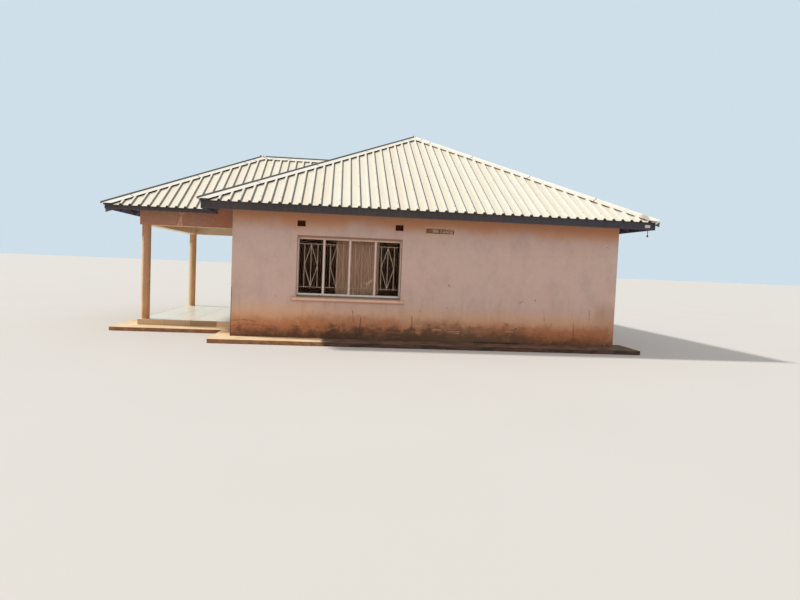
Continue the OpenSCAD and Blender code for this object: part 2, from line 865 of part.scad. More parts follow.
// Fascia boards: a mitred ring of the main roof, open where the verandah roof joins
module fascia_ring(low, high, h, z) {
  translate([low, low, z - h]) linear_extrude(height = h) difference() {
    square(high - low);
    translate([fascia_t, fascia_t]) square(high - low - 2 * fascia_t);
  }
}
module main_fascia() {
  color(fascia_color) difference() {
    fascia_ring(x_out + drip, far_out - drip, fascia_h, eave_z + drip * rise);
    translate([x_out, v_y0 + drip, 0])
      cube([eave, v_y1 - v_y0 - 2 * drip, tall]);
  }
}
module verandah_fascia() {
  x1 = x_out + drip;
  color(fascia_color)
    translate([0, 0, ver_eave_z + drip * ver_rise - ver_fascia_h])
      linear_extrude(height = ver_fascia_h) difference() {
        translate([v_x0 + drip, v_y0 + drip])
          square([x1 - v_x0 - drip, v_y1 - v_y0 - 2 * drip]);
        translate([v_x0 + v_tail, v_y0 + v_tail])
          square([x1 - v_x0, v_y1 - v_y0 - 2 * v_tail]);
      }
}

site() floor_slab();
site() apron();
site() verandah_floor();
site() front_wall();
site() back_wall();
site() left_wall();
site() right_wall();
site() near_column();
site() far_column();
site() front_beam();
site() side_beam();
site() back_beam();
site() front_window_frame();
site() front_window_panes();
site() back_window_frame();
site() back_window_panes();
site() right_window_frame();
site() right_window_panes();
site() left_window_frame();
site() left_window_panes();
site() window_sills();
site() door_frame();
site() door_leaf();
site() air_vents();
site() wall_plates();
site() hip_rafters();
site() front_rafters();
site() back_rafters();
site() left_rafters();
site() right_rafters();
site() verandah_ridge_board();
site() verandah_front_rafters();
site() verandah_back_rafters();
site() verandah_side_rafters();
site() front_roof();
site() back_roof();
site() left_roof();
site() right_roof();
site() hip_caps();
site() main_fascia();
site() verandah_front_roof();
site() verandah_side_roof();
site() verandah_back_roof();
site() verandah_caps();
site() verandah_fascia();
site() valley_gutters();
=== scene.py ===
# %% [markdown]
# # A plastered house with a hipped box-rib roof and a side verandah
# The walls, sheets, timbers, frames and floors come ready as solids, and they stay as they
# are. This lesson gives each of them its finish, and adds what a builder fixes on last:
# window bars, curtains, roofing screws and a door handle, with the marks that ten rainy
# seasons leave.

# %% Load the fixed frame
import math

import bpy
import numpy as np
from mathutils import Matrix, Vector


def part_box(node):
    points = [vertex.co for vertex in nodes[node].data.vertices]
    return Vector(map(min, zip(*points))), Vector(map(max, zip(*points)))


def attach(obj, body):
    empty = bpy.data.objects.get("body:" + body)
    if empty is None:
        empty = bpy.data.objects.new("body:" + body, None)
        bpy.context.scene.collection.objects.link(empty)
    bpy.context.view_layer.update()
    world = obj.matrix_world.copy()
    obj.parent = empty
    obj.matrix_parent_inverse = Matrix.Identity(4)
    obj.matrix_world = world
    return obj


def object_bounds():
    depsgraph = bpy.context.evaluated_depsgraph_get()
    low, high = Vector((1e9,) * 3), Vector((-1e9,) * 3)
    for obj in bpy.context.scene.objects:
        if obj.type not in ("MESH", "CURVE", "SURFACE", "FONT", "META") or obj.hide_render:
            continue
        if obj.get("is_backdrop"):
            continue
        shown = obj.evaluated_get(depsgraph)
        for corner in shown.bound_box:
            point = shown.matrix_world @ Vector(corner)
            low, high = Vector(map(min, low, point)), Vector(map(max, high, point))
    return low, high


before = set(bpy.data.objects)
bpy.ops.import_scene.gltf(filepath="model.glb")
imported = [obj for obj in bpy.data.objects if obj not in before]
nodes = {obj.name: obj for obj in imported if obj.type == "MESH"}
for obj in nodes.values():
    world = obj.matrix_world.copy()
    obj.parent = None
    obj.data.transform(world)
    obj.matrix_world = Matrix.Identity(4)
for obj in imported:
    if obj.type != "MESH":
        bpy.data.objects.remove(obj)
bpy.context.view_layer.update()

# %% [markdown]
# ## Measuring from the house's own corner
# A builder measures from the outer front left corner of the walls. The shared frame has its
# origin in the middle of the plan, so one small function moves such measures into it. The
# sizes of the roofs that later steps need are written here once.

# %% House corner
wall_low, wall_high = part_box("front_wall")
corner = np.array([wall_low[0], wall_low[1], 0.0])
side = wall_high[0] - wall_low[0]
middle = side / 2
wall_thick = 0.23
eave, eave_z, pitch = 0.590, 2.860, math.radians(27)
# the verandah: its start and length along the left wall, its depth, and its own roof
porch_start, porch_long, porch_deep = 1.68, 4.86, 2.395
porch_eave, porch_eave_z, porch_pitch = 0.63, 2.805, math.radians(29)
porch_mid = porch_start + porch_long / 2
porch_run = porch_long / 2 + porch_eave
rib_pitch, crown = 0.2, 0.039
walls = ("front", "back", "right", "left")


def at_house(points):
    """Points measured in metres from the house's corner, plus the corner's own place."""
    return np.asarray(points, float) + corner


def spot(x, y, z):
    """One point measured from the house's corner, as a tuple for a shader socket."""
    return tuple(float(v) for v in at_house([x, y, z]))


roof_centre = (corner[0] + middle, corner[1] + middle, 0.0)
porch_centre = (corner[0] - porch_deep - porch_eave + porch_run, corner[1] + porch_mid, 0.0)
print("corner", corner, "side", round(side, 3))

# %% [markdown]
# ## Short words for shader nodes
# A finish is a small network of nodes. Writing every link out in full hides the idea, so
# this helper adds a node, joins or sets its inputs in one line and hands back its output.
# Colours are written as a paint's red, green and blue from 0 to 255.

# %% Node wiring
def linear(colour):
    """Linear light of a paint, with c as a share of 255: ((c + 0.055) / 1.055) to the power
    2.4. A socket, or a colour of four ready values, passes through."""
    if not isinstance(colour, tuple) or len(colour) == 4:
        return colour
    share = (np.array(colour) / 255 + 0.055) / 1.055
    return (*(float(v) for v in share ** 2.4), 1.0)


class Wiring:
    """Adds nodes to one shader tree. A wire is a socket to link or a plain value to set."""

    def __init__(self, tree):
        self.tree = tree

    def join(self, made, wires):
        """Links sockets and sets plain values on a node's inputs."""
        for key, value in wires.items() if isinstance(wires, dict) else enumerate(wires):
            if isinstance(value, bpy.types.NodeSocket):
                self.tree.links.new(value, made.inputs[key])
            elif value is not None:
                made.inputs[key].default_value = value
        return made

    def node(self, kind, wires=(), **settings):
        """A new node of a kind, with its settings and its wires."""
        made = self.tree.nodes.new(kind if kind.startswith("NodeGroup") else "ShaderNode" + kind)
        for name, value in settings.items():
            setattr(made, name, value)
        return self.join(made, wires)

    def math(self, operation, *wires, clamp=False):
        return self.node("Math", wires, operation=operation, use_clamp=clamp).outputs[0]

    def plus(self, first, second):
        return self.math("ADD", first, second)

    def minus(self, first, second):
        return self.math("SUBTRACT", first, second)

    def times(self, first, second):
        return self.math("MULTIPLY", first, second)

    def vector(self, operation, *wires):
        made = self.node("VectorMath", wires, operation=operation)
        return made.outputs[1 if operation in ("DOT_PRODUCT", "LENGTH") else 0]

    def stretch(self, place, x, y, z):
        return self.vector("MULTIPLY", place, (x, y, z))

    def axis(self, place, number):
        return self.node("SeparateXYZ", [place]).outputs[number]

    def step(self, value, low, high):
        """Smooth change from 0 at low to 1 at high."""
        wires = {"Value": value, "From Min": low, "From Max": high}
        return self.node("MapRange", wires, interpolation_type="SMOOTHSTEP").outputs[0]

    def between(self, share, low, high):
        """Low where the share is 0, high where it is 1."""
        return self.node("MapRange", {"Value": share, "To Min": low, "To Max": high}).outputs[0]

    def noise(self, place, scale, detail, rough):
        wires = {"Vector": place, "Scale": scale, "Detail": detail, "Roughness": rough}
        return self.node("TexNoise", wires).outputs[0]

    def patches(self, place, scale, detail, rough, low, high):
        """Noise turned into patches by a step from low to high."""
        return self.step(self.noise(place, scale, detail, rough), low, high)

    def mix(self, mask, under, over):
        wires = {0: mask, 6: linear(under), 7: linear(over)}
        return self.node("Mix", wires, data_type="RGBA").outputs[2]

    def tint(self, colour, mask, share, over):
        """The colour under another one, which covers mask times share of it."""
        return self.mix(self.times(mask, share), colour, over)

    def group(self, tree, **wires):
        return self.node("Group", wires, node_tree=tree).outputs[0]


def new_group(name, output="Mask", **inputs):
    """An empty node group with one output: its wiring, its input sockets and its tree."""
    tree = bpy.data.node_groups.new(name, "ShaderNodeTree")
    for label, value in inputs.items():
        kind = "NodeSocketVector" if isinstance(value, tuple) else "NodeSocketFloat"
        tree.interface.new_socket(label, in_out="INPUT", socket_type=kind).default_value = value
    tree.interface.new_socket(output, in_out="OUTPUT", socket_type="NodeSocketFloat")
    wiring = Wiring(tree)
    return wiring, wiring.node("NodeGroupInput").outputs, tree


def close_group(wiring, value):
    """Joins a value to the group's one output."""
    wiring.node("NodeGroupOutput", [value])


# %% [markdown]
# ## Effects that several finishes share
# Rain splashes red soil up every wall, dirt lies in soft patches, lines repeat at the edge
# of each tile or sheet, and a crack is a crooked stroke. Each effect is a group, built once
# and placed in a material with that material's own numbers.

# %% Soil splashed up from the ground
ORIGIN = (0.0, 0.0, 0.0)
w, given, splash_group = new_group("ground_splash", Place=ORIGIN, Top=0.8, Full=0.2, Ragged=0.3,
                                   Grain=1.6)
# height above the ground plus wavering at two scales, faded from the top to the full line
wide = w.noise(given["Place"], given["Grain"], 5.0, 0.62)
fine = w.noise(w.stretch(given["Place"], 1.0, 1.0, 0.35), w.times(given["Grain"], 7.0), 6.0, 0.72)
waver = w.minus(w.plus(w.times(wide, 0.6), w.times(fine, 0.4)), 0.5)
height = w.plus(w.axis(given["Place"], 2), w.times(waver, given["Ragged"]))
close_group(w, w.step(height, given["Top"], given["Full"]))

# %% Soft rectangle for a local mark
w, given, box_group = new_group("soft_box", Place=ORIGIN, Middle=ORIGIN, Half=(0.1, 0.1, 0.1),
                                Soft=0.02, Ragged=0.0, Grain=8.0)
# largest distance past the box's faces, plus wavering, faded over the soft width
away = w.vector("ABSOLUTE", w.vector("SUBTRACT", given["Place"], given["Middle"]))
past = w.vector("SUBTRACT", away, given["Half"])
far = w.math("MAXIMUM", w.math("MAXIMUM", w.axis(past, 0), w.axis(past, 1)), w.axis(past, 2))
rough = w.minus(w.noise(given["Place"], given["Grain"], 4.0, 0.6), 0.5)
far = w.plus(far, w.times(rough, given["Ragged"]))
close_group(w, w.step(far, given["Soft"], 0.0))

# %% Crooked stroke from one point to another
w, given, stroke_group = new_group("stroke", Place=ORIGIN, Start=ORIGIN, End=(0.0, 0.0, 1.0),
                                   Width=0.01, Waver=0.01, Grain=12.0)
# distance to the nearest point of the segment, plus wavering, faded over the width
along = w.vector("SUBTRACT", given["End"], given["Start"])
offset = w.vector("SUBTRACT", given["Place"], given["Start"])
reach = w.math("DIVIDE", w.vector("DOT_PRODUCT", offset, along),
               w.vector("DOT_PRODUCT", along, along), clamp=True)
nearest = w.node("VectorMath", {0: along, 3: reach}, operation="SCALE").outputs[0]
gap = w.vector("LENGTH", w.vector("SUBTRACT", offset, nearest))
bend = w.minus(w.noise(given["Place"], given["Grain"], 3.0, 0.6), 0.5)
gap = w.plus(gap, w.times(bend, given["Waver"]))
close_group(w, w.step(gap, given["Width"], 0.0))

# %% Line at every multiple of a spacing
w, given, lines_group = new_group("repeated_lines", Distance=0.0, Spacing=0.6, Width=0.004,
                                  Soft=0.002)
# distance to the nearest multiple of the spacing, compared with half the line's width
near = w.math("PINGPONG", given["Distance"], w.times(given["Spacing"], 0.5))
edge = w.times(given["Width"], 0.5)
close_group(w, w.step(near, w.plus(edge, given["Soft"]), edge))

# %% One steady value for each tile, board or sheet
w, given, tone_group = new_group("tone_of_each", "Tone", Along=0.0, Across=0.0, Spacing=0.6)
# whole numbers of spacings along and across, turned into one random value from 0 to 1
column = w.math("FLOOR", w.math("DIVIDE", given["Along"], given["Spacing"]))
row = w.math("FLOOR", w.math("DIVIDE", given["Across"], given["Spacing"]))
cell = w.node("CombineXYZ", [column, row, 0.0]).outputs[0]
close_group(w, w.node("TexWhiteNoise", {"Vector": cell}, noise_dimensions="3D").outputs[0])

# %% Rough skin for plaster, concrete and brick
w, given, skin_group = new_group("trowelled_skin", "Height", Place=ORIGIN, Grain=60.0, Sweep=3.0)
# fine sand plus long shallow trowel sweeps, in nearly equal parts
sand = w.noise(given["Place"], given["Grain"], 6.0, 0.7)
sweep = w.noise(w.stretch(given["Place"], 0.6, 0.6, 2.2), given["Sweep"], 3.0, 0.5)
close_group(w, w.plus(w.times(sand, 0.45), w.times(sweep, 0.55)))

# %% Thin runs of dirty water
w, given, run_group = new_group("water_runs", Place=ORIGIN, Grain=9.0, Amount=0.58)
# noise drawn out eleven times along the fall, kept where it rises above the amount
streak = w.noise(w.stretch(given["Place"], 1.0, 1.0, 0.09), given["Grain"], 4.0, 0.6)
close_group(w, w.step(streak, given["Amount"], w.plus(given["Amount"], 0.16)))

# %% Growth lines of sawn wood
w, given, grain_group = new_group("sawn_grain", "Tone", Place=ORIGIN, Grain=26.0)
# bands of a wave bent by noise, on a place already drawn out along the board
bent = w.node("TexWave", {"Vector": given["Place"], "Scale": given["Grain"], "Distortion": 5.0,
                          "Detail": 3.0, "Detail Scale": 1.6}).outputs[1]
fibre = w.noise(given["Place"], w.times(given["Grain"], 3.0), 3.0, 0.6)
close_group(w, w.plus(w.times(bent, 0.55), w.times(fibre, 0.45)))
print("effects ready:", [g.name for g in bpy.data.node_groups])

# %% Masks in one call
def soft_box(w, place, middle, half, soft=0.02, ragged=0.0, grain=8.0):
    """Mask of a soft rectangle, its middle measured from the house's corner."""
    return w.group(box_group, Place=place, Middle=spot(*middle), Half=half, Soft=soft,
                   Ragged=ragged, Grain=grain)


def stroke(w, place, start, end, width, waver, grain):
    """Mask of a crooked stroke between two points measured from the house's corner."""
    return w.group(stroke_group, Place=place, Start=spot(*start), End=spot(*end), Width=width,
                   Waver=waver, Grain=grain)


def splashed(w, place, top, full, ragged, grain):
    """Mask of soil: 1 below the full line, 0 above the ragged top line."""
    return w.group(splash_group, Place=place, Top=top, Full=full, Ragged=ragged, Grain=grain)


# %% [markdown]
# ## Opening and closing a finish
# Each finish starts with an empty material whose patterns read object coordinates, in
# metres, and ends when a colour, a roughness and a height reach the one shader.

# %% Start and end of a finish
def open_finish(name):
    """A new material, its wiring and its place in metres."""
    material = bpy.data.materials.new(name)
    material.use_nodes = True
    w = Wiring(material.node_tree)
    return material, w, w.node("TexCoord").outputs["Object"]


def close_finish(w, colour, roughness, height=None, depth=0.001, **fixed):
    """Joins colour, roughness and a height in metres of depth to the Principled shader."""
    shader = w.tree.nodes["Principled BSDF"]
    fixed = {label.replace("_", " "): value for label, value in fixed.items()}
    w.join(shader, {"Base Color": linear(colour), "Roughness": roughness, **fixed})
    if height is not None:
        bump = w.node("Bump", {"Height": height, "Distance": depth, "Strength": 1.0})
        w.join(shader, {"Normal": bump.outputs[0]})


def speckled(name, scale, detail, rough, tones, shine, depth, **fixed):
    """Two tones mixed by fine noise, which gives the height too: rust, wear or scuffs."""
    material, w, place = open_finish(name)
    specks = w.noise(place, scale, detail, rough)
    close_finish(w, w.mix(specks, *tones), shine, specks, depth, **fixed)
    return material


def paint(material, *names):
    """Gives solids their finish: each mesh keeps its shape, only its material changes."""
    for name in names:
        nodes[name].data.materials.clear()
        nodes[name].data.materials.append(material)


# %% [markdown]
# ## Painted plaster
# The walls are brick under sand and cement plaster with a thin coat of pale paint, now
# dusty pink. Soil splashed by rain colours the lowest metre, the foot is dark with damp,
# and the paint is warmer just under the eaves. One function makes every plastered finish,
# and each wall or beam passes its own colours and heights.

# %% Plaster with its weather
haze_orange, soil_red, damp_brown = (214, 160, 114), (178, 108, 66), (112, 74, 50)
wall_pink, eave_warm = (204, 174, 162), (202, 137, 95)


def plaster(name, base, splash=0.95, share=0.85, foot=0.30, warm=None, marks=None):
    """Paint, clouds, warm band under the eaves, splash and damp foot, one over another."""
    material, w, place = open_finish(name)
    patch = w.patches(place, 0.7, 4.0, 0.6, 0.34, 0.66)
    colour = w.tint(base, patch, 0.5, w.mix(0.35, base, (206, 164, 138)))
    cloudy = w.patches(w.stretch(place, 1.0, 1.0, 0.6), 2.6, 6.0, 0.62, 0.42, 0.72)
    colour = w.tint(colour, cloudy, 0.30, (160, 134, 130))
    chalky = w.patches(place, 16.0, 6.0, 0.7, 0.46, 0.66)
    colour = w.tint(colour, chalky, 0.13, (226, 206, 192))
    if warm is not None:
        wavy = w.times(w.minus(w.noise(place, 1.1, 5.0, 0.6), 0.5), 0.5)
        band = w.step(w.plus(w.axis(place, 2), wavy), 2.32, 2.66)
        colour = w.tint(colour, band, 0.9, warm)
    runs = w.group(run_group, Place=place, Grain=9.0, Amount=0.52)
    below = w.step(w.axis(place, 2), 1.35, 0.75)
    colour = w.tint(colour, w.times(runs, below), 0.18, (146, 112, 92))
    if splash > 0:
        # top and full line as shares of the splash height, then raggedness, grain and cover
        for top, full, ragged, grain, amount, soil in (
                (1.00, 0.50, 0.45, 1.2, 0.80, haze_orange),
                (0.72, 0.30, 0.60, 2.2, 0.85, soil_red),
                (0.42, 0.10, 0.62, 3.6, 0.80, damp_brown)):
            mask = splashed(w, place, splash * top, splash * full, ragged, grain)
            colour = w.tint(colour, mask, amount * share, soil)
        soiled = splashed(w, place, splash * 0.62, splash * 0.30, 0.60, 1.9)
        for grain, amount, tone in ((19.0, 0.62, (116, 68, 40)), (11.0, 0.48, (208, 146, 98))):
            grit = w.patches(w.stretch(place, 0.7, 0.7, 1.4), grain, 6.0, 0.8, 0.48, 0.60)
            colour = w.tint(colour, w.times(grit, soiled), amount * share, tone)
    if foot > 0:
        blotch = w.patches(place, 7.0, 6.0, 0.7, 0.38, 0.60)
        damp = w.times(splashed(w, place, foot, 0.06, 0.55, 4.2),
                       w.plus(w.times(blotch, 0.5), 0.3))
        colour = w.mix(damp, colour, (66, 48, 36))
    height = w.group(skin_group, Place=place, Grain=55.0, Sweep=2.6)
    if marks is not None:
        colour, height = marks(w, place, colour, height)
    close_finish(w, colour, w.between(patch, 0.93, 0.82), height, 0.004)
    return material


# %% [markdown]
# ## The front wall's own marks
# Moss and damp climb about a third of a metre along the shaded middle of the wall, a few
# drips and scratches break the splash, fine cracks run over the left foot, and the plaster
# is broken off a long slot beside the second vent, where dirty bricks show.

# %% Places of the front wall's marks
rust_spots = (  # middle x, middle z, half width, half height, cover
    (2.50, 0.42, 0.95, 0.09, 0.34), (0.90, 0.36, 0.70, 0.06, 0.22),
    (6.05, 0.32, 0.45, 0.07, 0.36), (7.45, 0.33, 0.75, 0.08, 0.42))
moss_spots = (  # middle x, half width, half height, cover, colour
    (3.30, 1.20, 0.20, 0.90, (76, 56, 42)), (4.95, 1.45, 0.13, 0.80, (92, 68, 50)),
    (4.60, 0.55, 0.36, 0.42, (112, 80, 58)), (5.45, 0.80, 0.31, 0.60, (104, 78, 60)),
    (0.85, 0.50, 0.13, 0.62, (92, 60, 42)), (1.60, 0.36, 0.10, 0.60, (80, 52, 38)),
    (2.35, 0.34, 0.09, 0.60, (80, 54, 38)), (6.95, 1.10, 0.05, 0.60, (104, 66, 46)),
    (1.15, 0.80, 0.02, 0.70, (92, 62, 46)))
drips = (  # x from and to, z from and to, width
    (2.57, 2.60, 0.71, 0.45, 0.014), (2.75, 2.73, 0.57, 0.22, 0.022),
    (3.86, 3.87, 0.62, 0.32, 0.022), (7.49, 7.51, 0.58, 0.20, 0.020),
    (6.80, 6.82, 0.86, 0.62, 0.010), (7.84, 7.85, 0.90, 0.66, 0.012),
    (4.62, 4.67, 1.35, 1.30, 0.014), (6.24, 6.30, 1.00, 1.05, 0.018),
    (6.58, 6.60, 1.09, 1.06, 0.014), (4.02, 4.04, 0.76, 0.75, 0.018),
    (8.17, 8.21, 2.31, 2.30, 0.012), (4.62, 4.63, 0.85, 0.83, 0.014),
    (6.17, 6.20, 0.42, 0.44, 0.028), (5.95, 5.98, 0.27, 0.27, 0.040),
    (0.92, 0.94, 0.98, 0.94, 0.010), (2.04, 2.24, 0.32, 0.40, 0.009))
scrapes = ((4.33, 4.52, 0.355, 0.350), (4.66, 4.92, 0.315, 0.325), (4.80, 4.90, 0.290, 0.285),
           (5.95, 6.12, 0.355, 0.360))
cracks = ((0.02, 0.30, 0.42, 0.44, 0.014), (0.30, 0.62, 0.44, 0.41, 0.013),
          (0.05, 0.45, 0.31, 0.35, 0.012), (0.45, 1.02, 0.35, 0.31, 0.012))

# %% Marks on the front wall
def front_marks(w, place, colour, height):
    """Each mark is a soft box or a stroke laid over the colour; cracks cut the height too."""
    def wall_stroke(x0, x1, z0, z1, *shape):
        """A stroke on the wall's outer face; the shape is width, waver and grain."""
        return stroke(w, place, (x0, 0, z0), (x1, 0, z1), *shape)

    haze = soft_box(w, place, (8.30, 0, 0.60), (0.22, 0.5, 0.25), 0.30, 0.35, 2.5)
    colour = w.tint(colour, haze, 0.40, (172, 124, 94))
    for x, z, half, tall, share in rust_spots:
        rust = soft_box(w, place, (x, 0, z), (half, 0.5, tall), 0.16, 0.50, 6.0)
        colour = w.tint(colour, rust, share, (164, 92, 52))
    mottle = w.patches(w.stretch(place, 0.7, 0.7, 2.6), 9.0, 8.0, 0.80, 0.38, 0.60)
    dappled = w.plus(w.times(mottle, 0.62), 0.38)
    for x, half, tall, share, tone in moss_spots:
        moss = soft_box(w, place, (x, 0, 0.05), (half, 0.5, tall), 0.18, 0.70, 5.2)
        colour = w.tint(colour, w.times(moss, dappled), share, tone)
    # painted shade: a near-black stroke for the shade in a gap at the wall's foot
    foot_gap_shade = wall_stroke(5.25, 6.25, 0.10, 0.095, 0.030, 0.03, 6.0)
    colour = w.mix(foot_gap_shade, colour, (40, 28, 20))
    for drip in drips:
        colour = w.tint(colour, wall_stroke(*drip, 0.02, 14.0), 0.66, (84, 56, 42))
    for scrape in scrapes:
        colour = w.tint(colour, wall_stroke(*scrape, 0.016, 0.02, 11.0), 0.75, (214, 166, 126))
    for ends in cracks:
        crack = wall_stroke(*ends, 0.05, 9.0)
        colour = w.tint(colour, crack, 0.5, (96, 62, 44))
        height = w.minus(height, w.times(crack, 0.6))
    corner_line = soft_box(w, place, (0, 0, 0.5), (0.012, 0.002, 0.62), 0.016, 0.03, 3.0)
    colour = w.tint(colour, corner_line, 0.65, (92, 66, 52))
    # painted shade of the window's reveals, on the reveals and a thin rim of wall round the
    # opening
    window_reveal_shade = soft_box(w, place, (2.4695, 0, 1.64), (1.1135, 0.3, 0.63), 0.018)
    colour = w.tint(colour, window_reveal_shade, 0.72, (118, 72, 50))
    scar = soft_box(w, place, (4.45, 0.0, 2.44), (0.32, 0.02, 0.11), 0.06, 0.18, 12.0)
    flaked = w.patches(place, 28.0, 5.0, 0.7, 0.44, 0.58)
    colour = w.tint(colour, w.times(scar, flaked), 0.75, (216, 180, 152))
    bared = soft_box(w, place, (4.399, 0.024, 2.494), (0.306, 0.018, 0.055), 0.004)
    brick = w.mix(w.noise(place, 22.0, 4.0, 0.6), (104, 68, 50), (150, 110, 86))
    colour = w.mix(bared, colour, brick)
    # the wall's inner face: brown plaster, made darker as painted shade of the dark room
    inside = soft_box(w, place, (4.215, 0.29, 1.5), (3.98, 0.08, 2.0), 0.01)
    return w.mix(inside, colour, (112, 84, 66)), height


paint(plaster("front_wall_paint", wall_pink, warm=eave_warm, marks=front_marks), "front_wall")
paint(plaster("wall_paint", wall_pink, warm=eave_warm), "back_wall", "right_wall", "left_wall")

# %% [markdown]
# ## Sills, columns and beams
# The sills have a paler coat than the walls. The columns and the beams were never painted
# pink: they show a cement wash, brown outside and cream on the sheltered faces, where the
# cream is brightened as painted light from the sunlit floor. A forked crack in the front
# beam was filled with pale mortar.

# %% Marks on the verandah's plaster
# cream wash of the sheltered faces, brightened as painted light from the sunlit floor
lit_inner_wash = (255, 236, 200)


def beam_marks(w, place, colour, height):
    """The filled crack forks into two legs, and behind its outer face the beam is cream,
    brightened as painted light.
    """
    for x0, x1, z0, z1, width in ((-1.41, -1.475, 2.76, 2.63, 0.026),
                                  (-1.51, -1.465, 2.75, 2.70, 0.014),
                                  (-1.475, -1.545, 2.63, 2.43, 0.030),
                                  (-1.475, -1.455, 2.63, 2.43, 0.032)):
        fill = stroke(w, place, (x0, porch_start, z0), (x1, porch_start, z1), width, 0.06, 18.0)
        colour = w.tint(colour, fill, 0.85, (226, 184, 152))
        height = w.plus(height, w.times(fill, 0.4))
    outer_face = corner[1] + porch_start
    inside = w.step(w.axis(place, 1), outer_face + 0.02, outer_face + 0.08)
    return w.mix(inside, colour, lit_inner_wash), height


def sill_marks(w, place, colour, height):
    """Painted shade with some dirt where the front sill meets its window, and an orange drip edge
    below.
    """
    # painted shade of the frame on the sill's top, with some dirt
    sill_shade_and_grime = soft_box(w, place, (2.47, 0.07, 1.0), (1.3, 0.055, 0.1), 0.05, 0.03, 12.0)
    colour = w.tint(colour, sill_shade_and_grime, 0.8, (110, 92, 82))
    under = w.step(w.axis(place, 2), 0.915, 0.900)
    return w.tint(colour, under, 0.7, (176, 112, 76)), height


def column_marks(middle_y, half_wide):
    """The outer side of a column is painted cream below the shade of the eaves: painted sunlight.
    """
    def marks(w, place, colour, height):
        """Painted sunlit strip first, then small pits of the rough wash."""
        # painted sunlight on the column's outer side below the eaves' shade
        sunlit_strip = soft_box(w, place, (-2.45, middle_y, 0.9), (half_wide, 0.3, 1.25), 0.03, 0.05,
                            5.0)
        colour = w.tint(colour, sunlit_strip, 0.7, (250, 222, 182))
        pits = w.patches(place, 30.0, 5.0, 0.75, 0.56, 0.68)
        colour = w.tint(colour, pits, 0.22, (136, 96, 72))
        return colour, w.minus(height, w.times(pits, 0.3))
    return marks


# %% Finishes of the verandah's plaster
paint(plaster("sill_paint", (234, 190, 160), 0, foot=0, marks=sill_marks), "window_sills")
paint(plaster("column_wash", (184, 136, 98), 1.0, 0.40, 0, marks=column_marks(1.80, 0.12)),
      "near_column")
# the far column's wash is paler and yellower than the near one's: painted sunlight
paint(plaster("far_column_sunlit_wash", (216, 172, 120), 0.8, 0.30, 0, marks=column_marks(6.42, 0.16)),
      "far_column")
paint(plaster("front_beam_wash", (184, 126, 98), 0, foot=0, marks=beam_marks), "front_beam")
# the inner beams take the brightened cream: wash and painted light
paint(plaster("beam_wash", lit_inner_wash, 0, foot=0), "side_beam", "back_beam")

# %% [markdown]
# ## Concrete apron and floor slab
# The apron is rough concrete, cream where feet and rain keep it clean and brown with soil
# on its edges. Its colour follows the height: the thin side faces are soil brown.

# %% Apron concrete
def concrete(name, top, worn, edge, edge_high, marks=None):
    """Worn top, soil-brown side faces below a given height, coarse pits."""
    material, w, place = open_finish(name)
    colour = w.mix(w.patches(place, 1.7, 5.0, 0.62, 0.30, 0.72), top, worn)
    colour = w.tint(colour, w.patches(place, 5.5, 5.0, 0.65, 0.55, 0.80), 0.55, edge)
    clods = w.patches(w.stretch(place, 0.6, 0.6, 1.6), 11.0, 6.0, 0.75, 0.40, 0.60)
    muddy = w.mix(clods, w.mix(0.35, edge, (72, 44, 30)), w.mix(0.35, edge, (176, 132, 96)))
    if marks is not None:
        colour, muddy = marks(w, place, colour, muddy)
    side_face = w.step(w.axis(place, 2), edge_high, edge_high - 0.008)
    height = w.group(skin_group, Place=place, Grain=38.0, Sweep=5.0)
    close_finish(w, w.mix(side_face, colour, muddy), 0.92, height, 0.006)
    return material


def apron_marks(w, place, colour, muddy):
    """The apron is painted dark along the shaded part of the front wall: painted shadow of the
    eaves, with damp.
    """
    # painted shadow of the eaves with damp, on the apron's top and its rim
    damp = soft_box(w, place, (5.45, -0.3, 0.05), (3.45, 0.7, 0.3), 0.10, 0.30, 3.0)
    top = w.mix(w.patches(place, 4.0, 6.0, 0.7, 0.40, 0.62), (126, 96, 76), (92, 66, 50))
    rim = w.mix(w.patches(w.stretch(place, 0.5, 0.5, 3.0), 6.0, 5.0, 0.7, 0.4, 0.6),
                (92, 66, 50), (58, 42, 33))
    return w.mix(damp, colour, top), w.mix(damp, muddy, rim)


apron_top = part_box("apron")[1][2]
paint(concrete("apron_concrete", (255, 230, 190), (244, 208, 162), (150, 100, 68),
               apron_top - 0.002, apron_marks), "apron")
paint(concrete("slab_concrete", (170, 158, 140), (152, 136, 116), (120, 104, 84), 0.0),
      "floor_slab")

# %% [markdown]
# ## Verandah floor tiles
# The verandah is laid with glossy cream tiles 600 mm square, with grey joints 4 mm wide.
# The joints start at the house wall, which leaves a cut row at the outer edge. Each tile
# has its own slight tone, and the narrow tiles on the slab's edge are browner.

# %% Tile finish
tile, joint_wide, tiles_before = 0.6, 0.004, 10
floor_low, floor_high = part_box("verandah_floor")
material, w, place = open_finish("glazed_floor_tiles")
# both distances start ten tiles outside the floor, so they stay positive, and 6 mm keep
# a joint off the front edge
along = w.minus(floor_high[0] + tiles_before * tile, w.axis(place, 0))
across = w.minus(w.axis(place, 1), floor_low[1] - tiles_before * tile - 0.006)
joint = w.math("MAXIMUM",
               w.group(lines_group, Distance=along, Spacing=tile, Width=joint_wide),
               w.group(lines_group, Distance=across, Spacing=tile, Width=joint_wide))
tone = w.group(tone_group, Along=along, Across=across, Spacing=tile)
cream = w.mix(tone, (252, 247, 224), (254, 251, 236))
cream = w.tint(cream, w.patches(place, 6.0, 6.0, 0.7, 0.45, 0.75), 0.25, (240, 228, 198))
edge_tone = w.mix(w.step(tone, 0.3, 0.7), (164, 138, 108), (232, 206, 170))
edge_tone = w.tint(edge_tone, w.noise(place, 7.0, 5.0, 0.6), 0.35, (186, 146, 112))
is_edge = w.step(w.axis(place, 2), floor_high[2] - 0.001, floor_high[2] - 0.006)
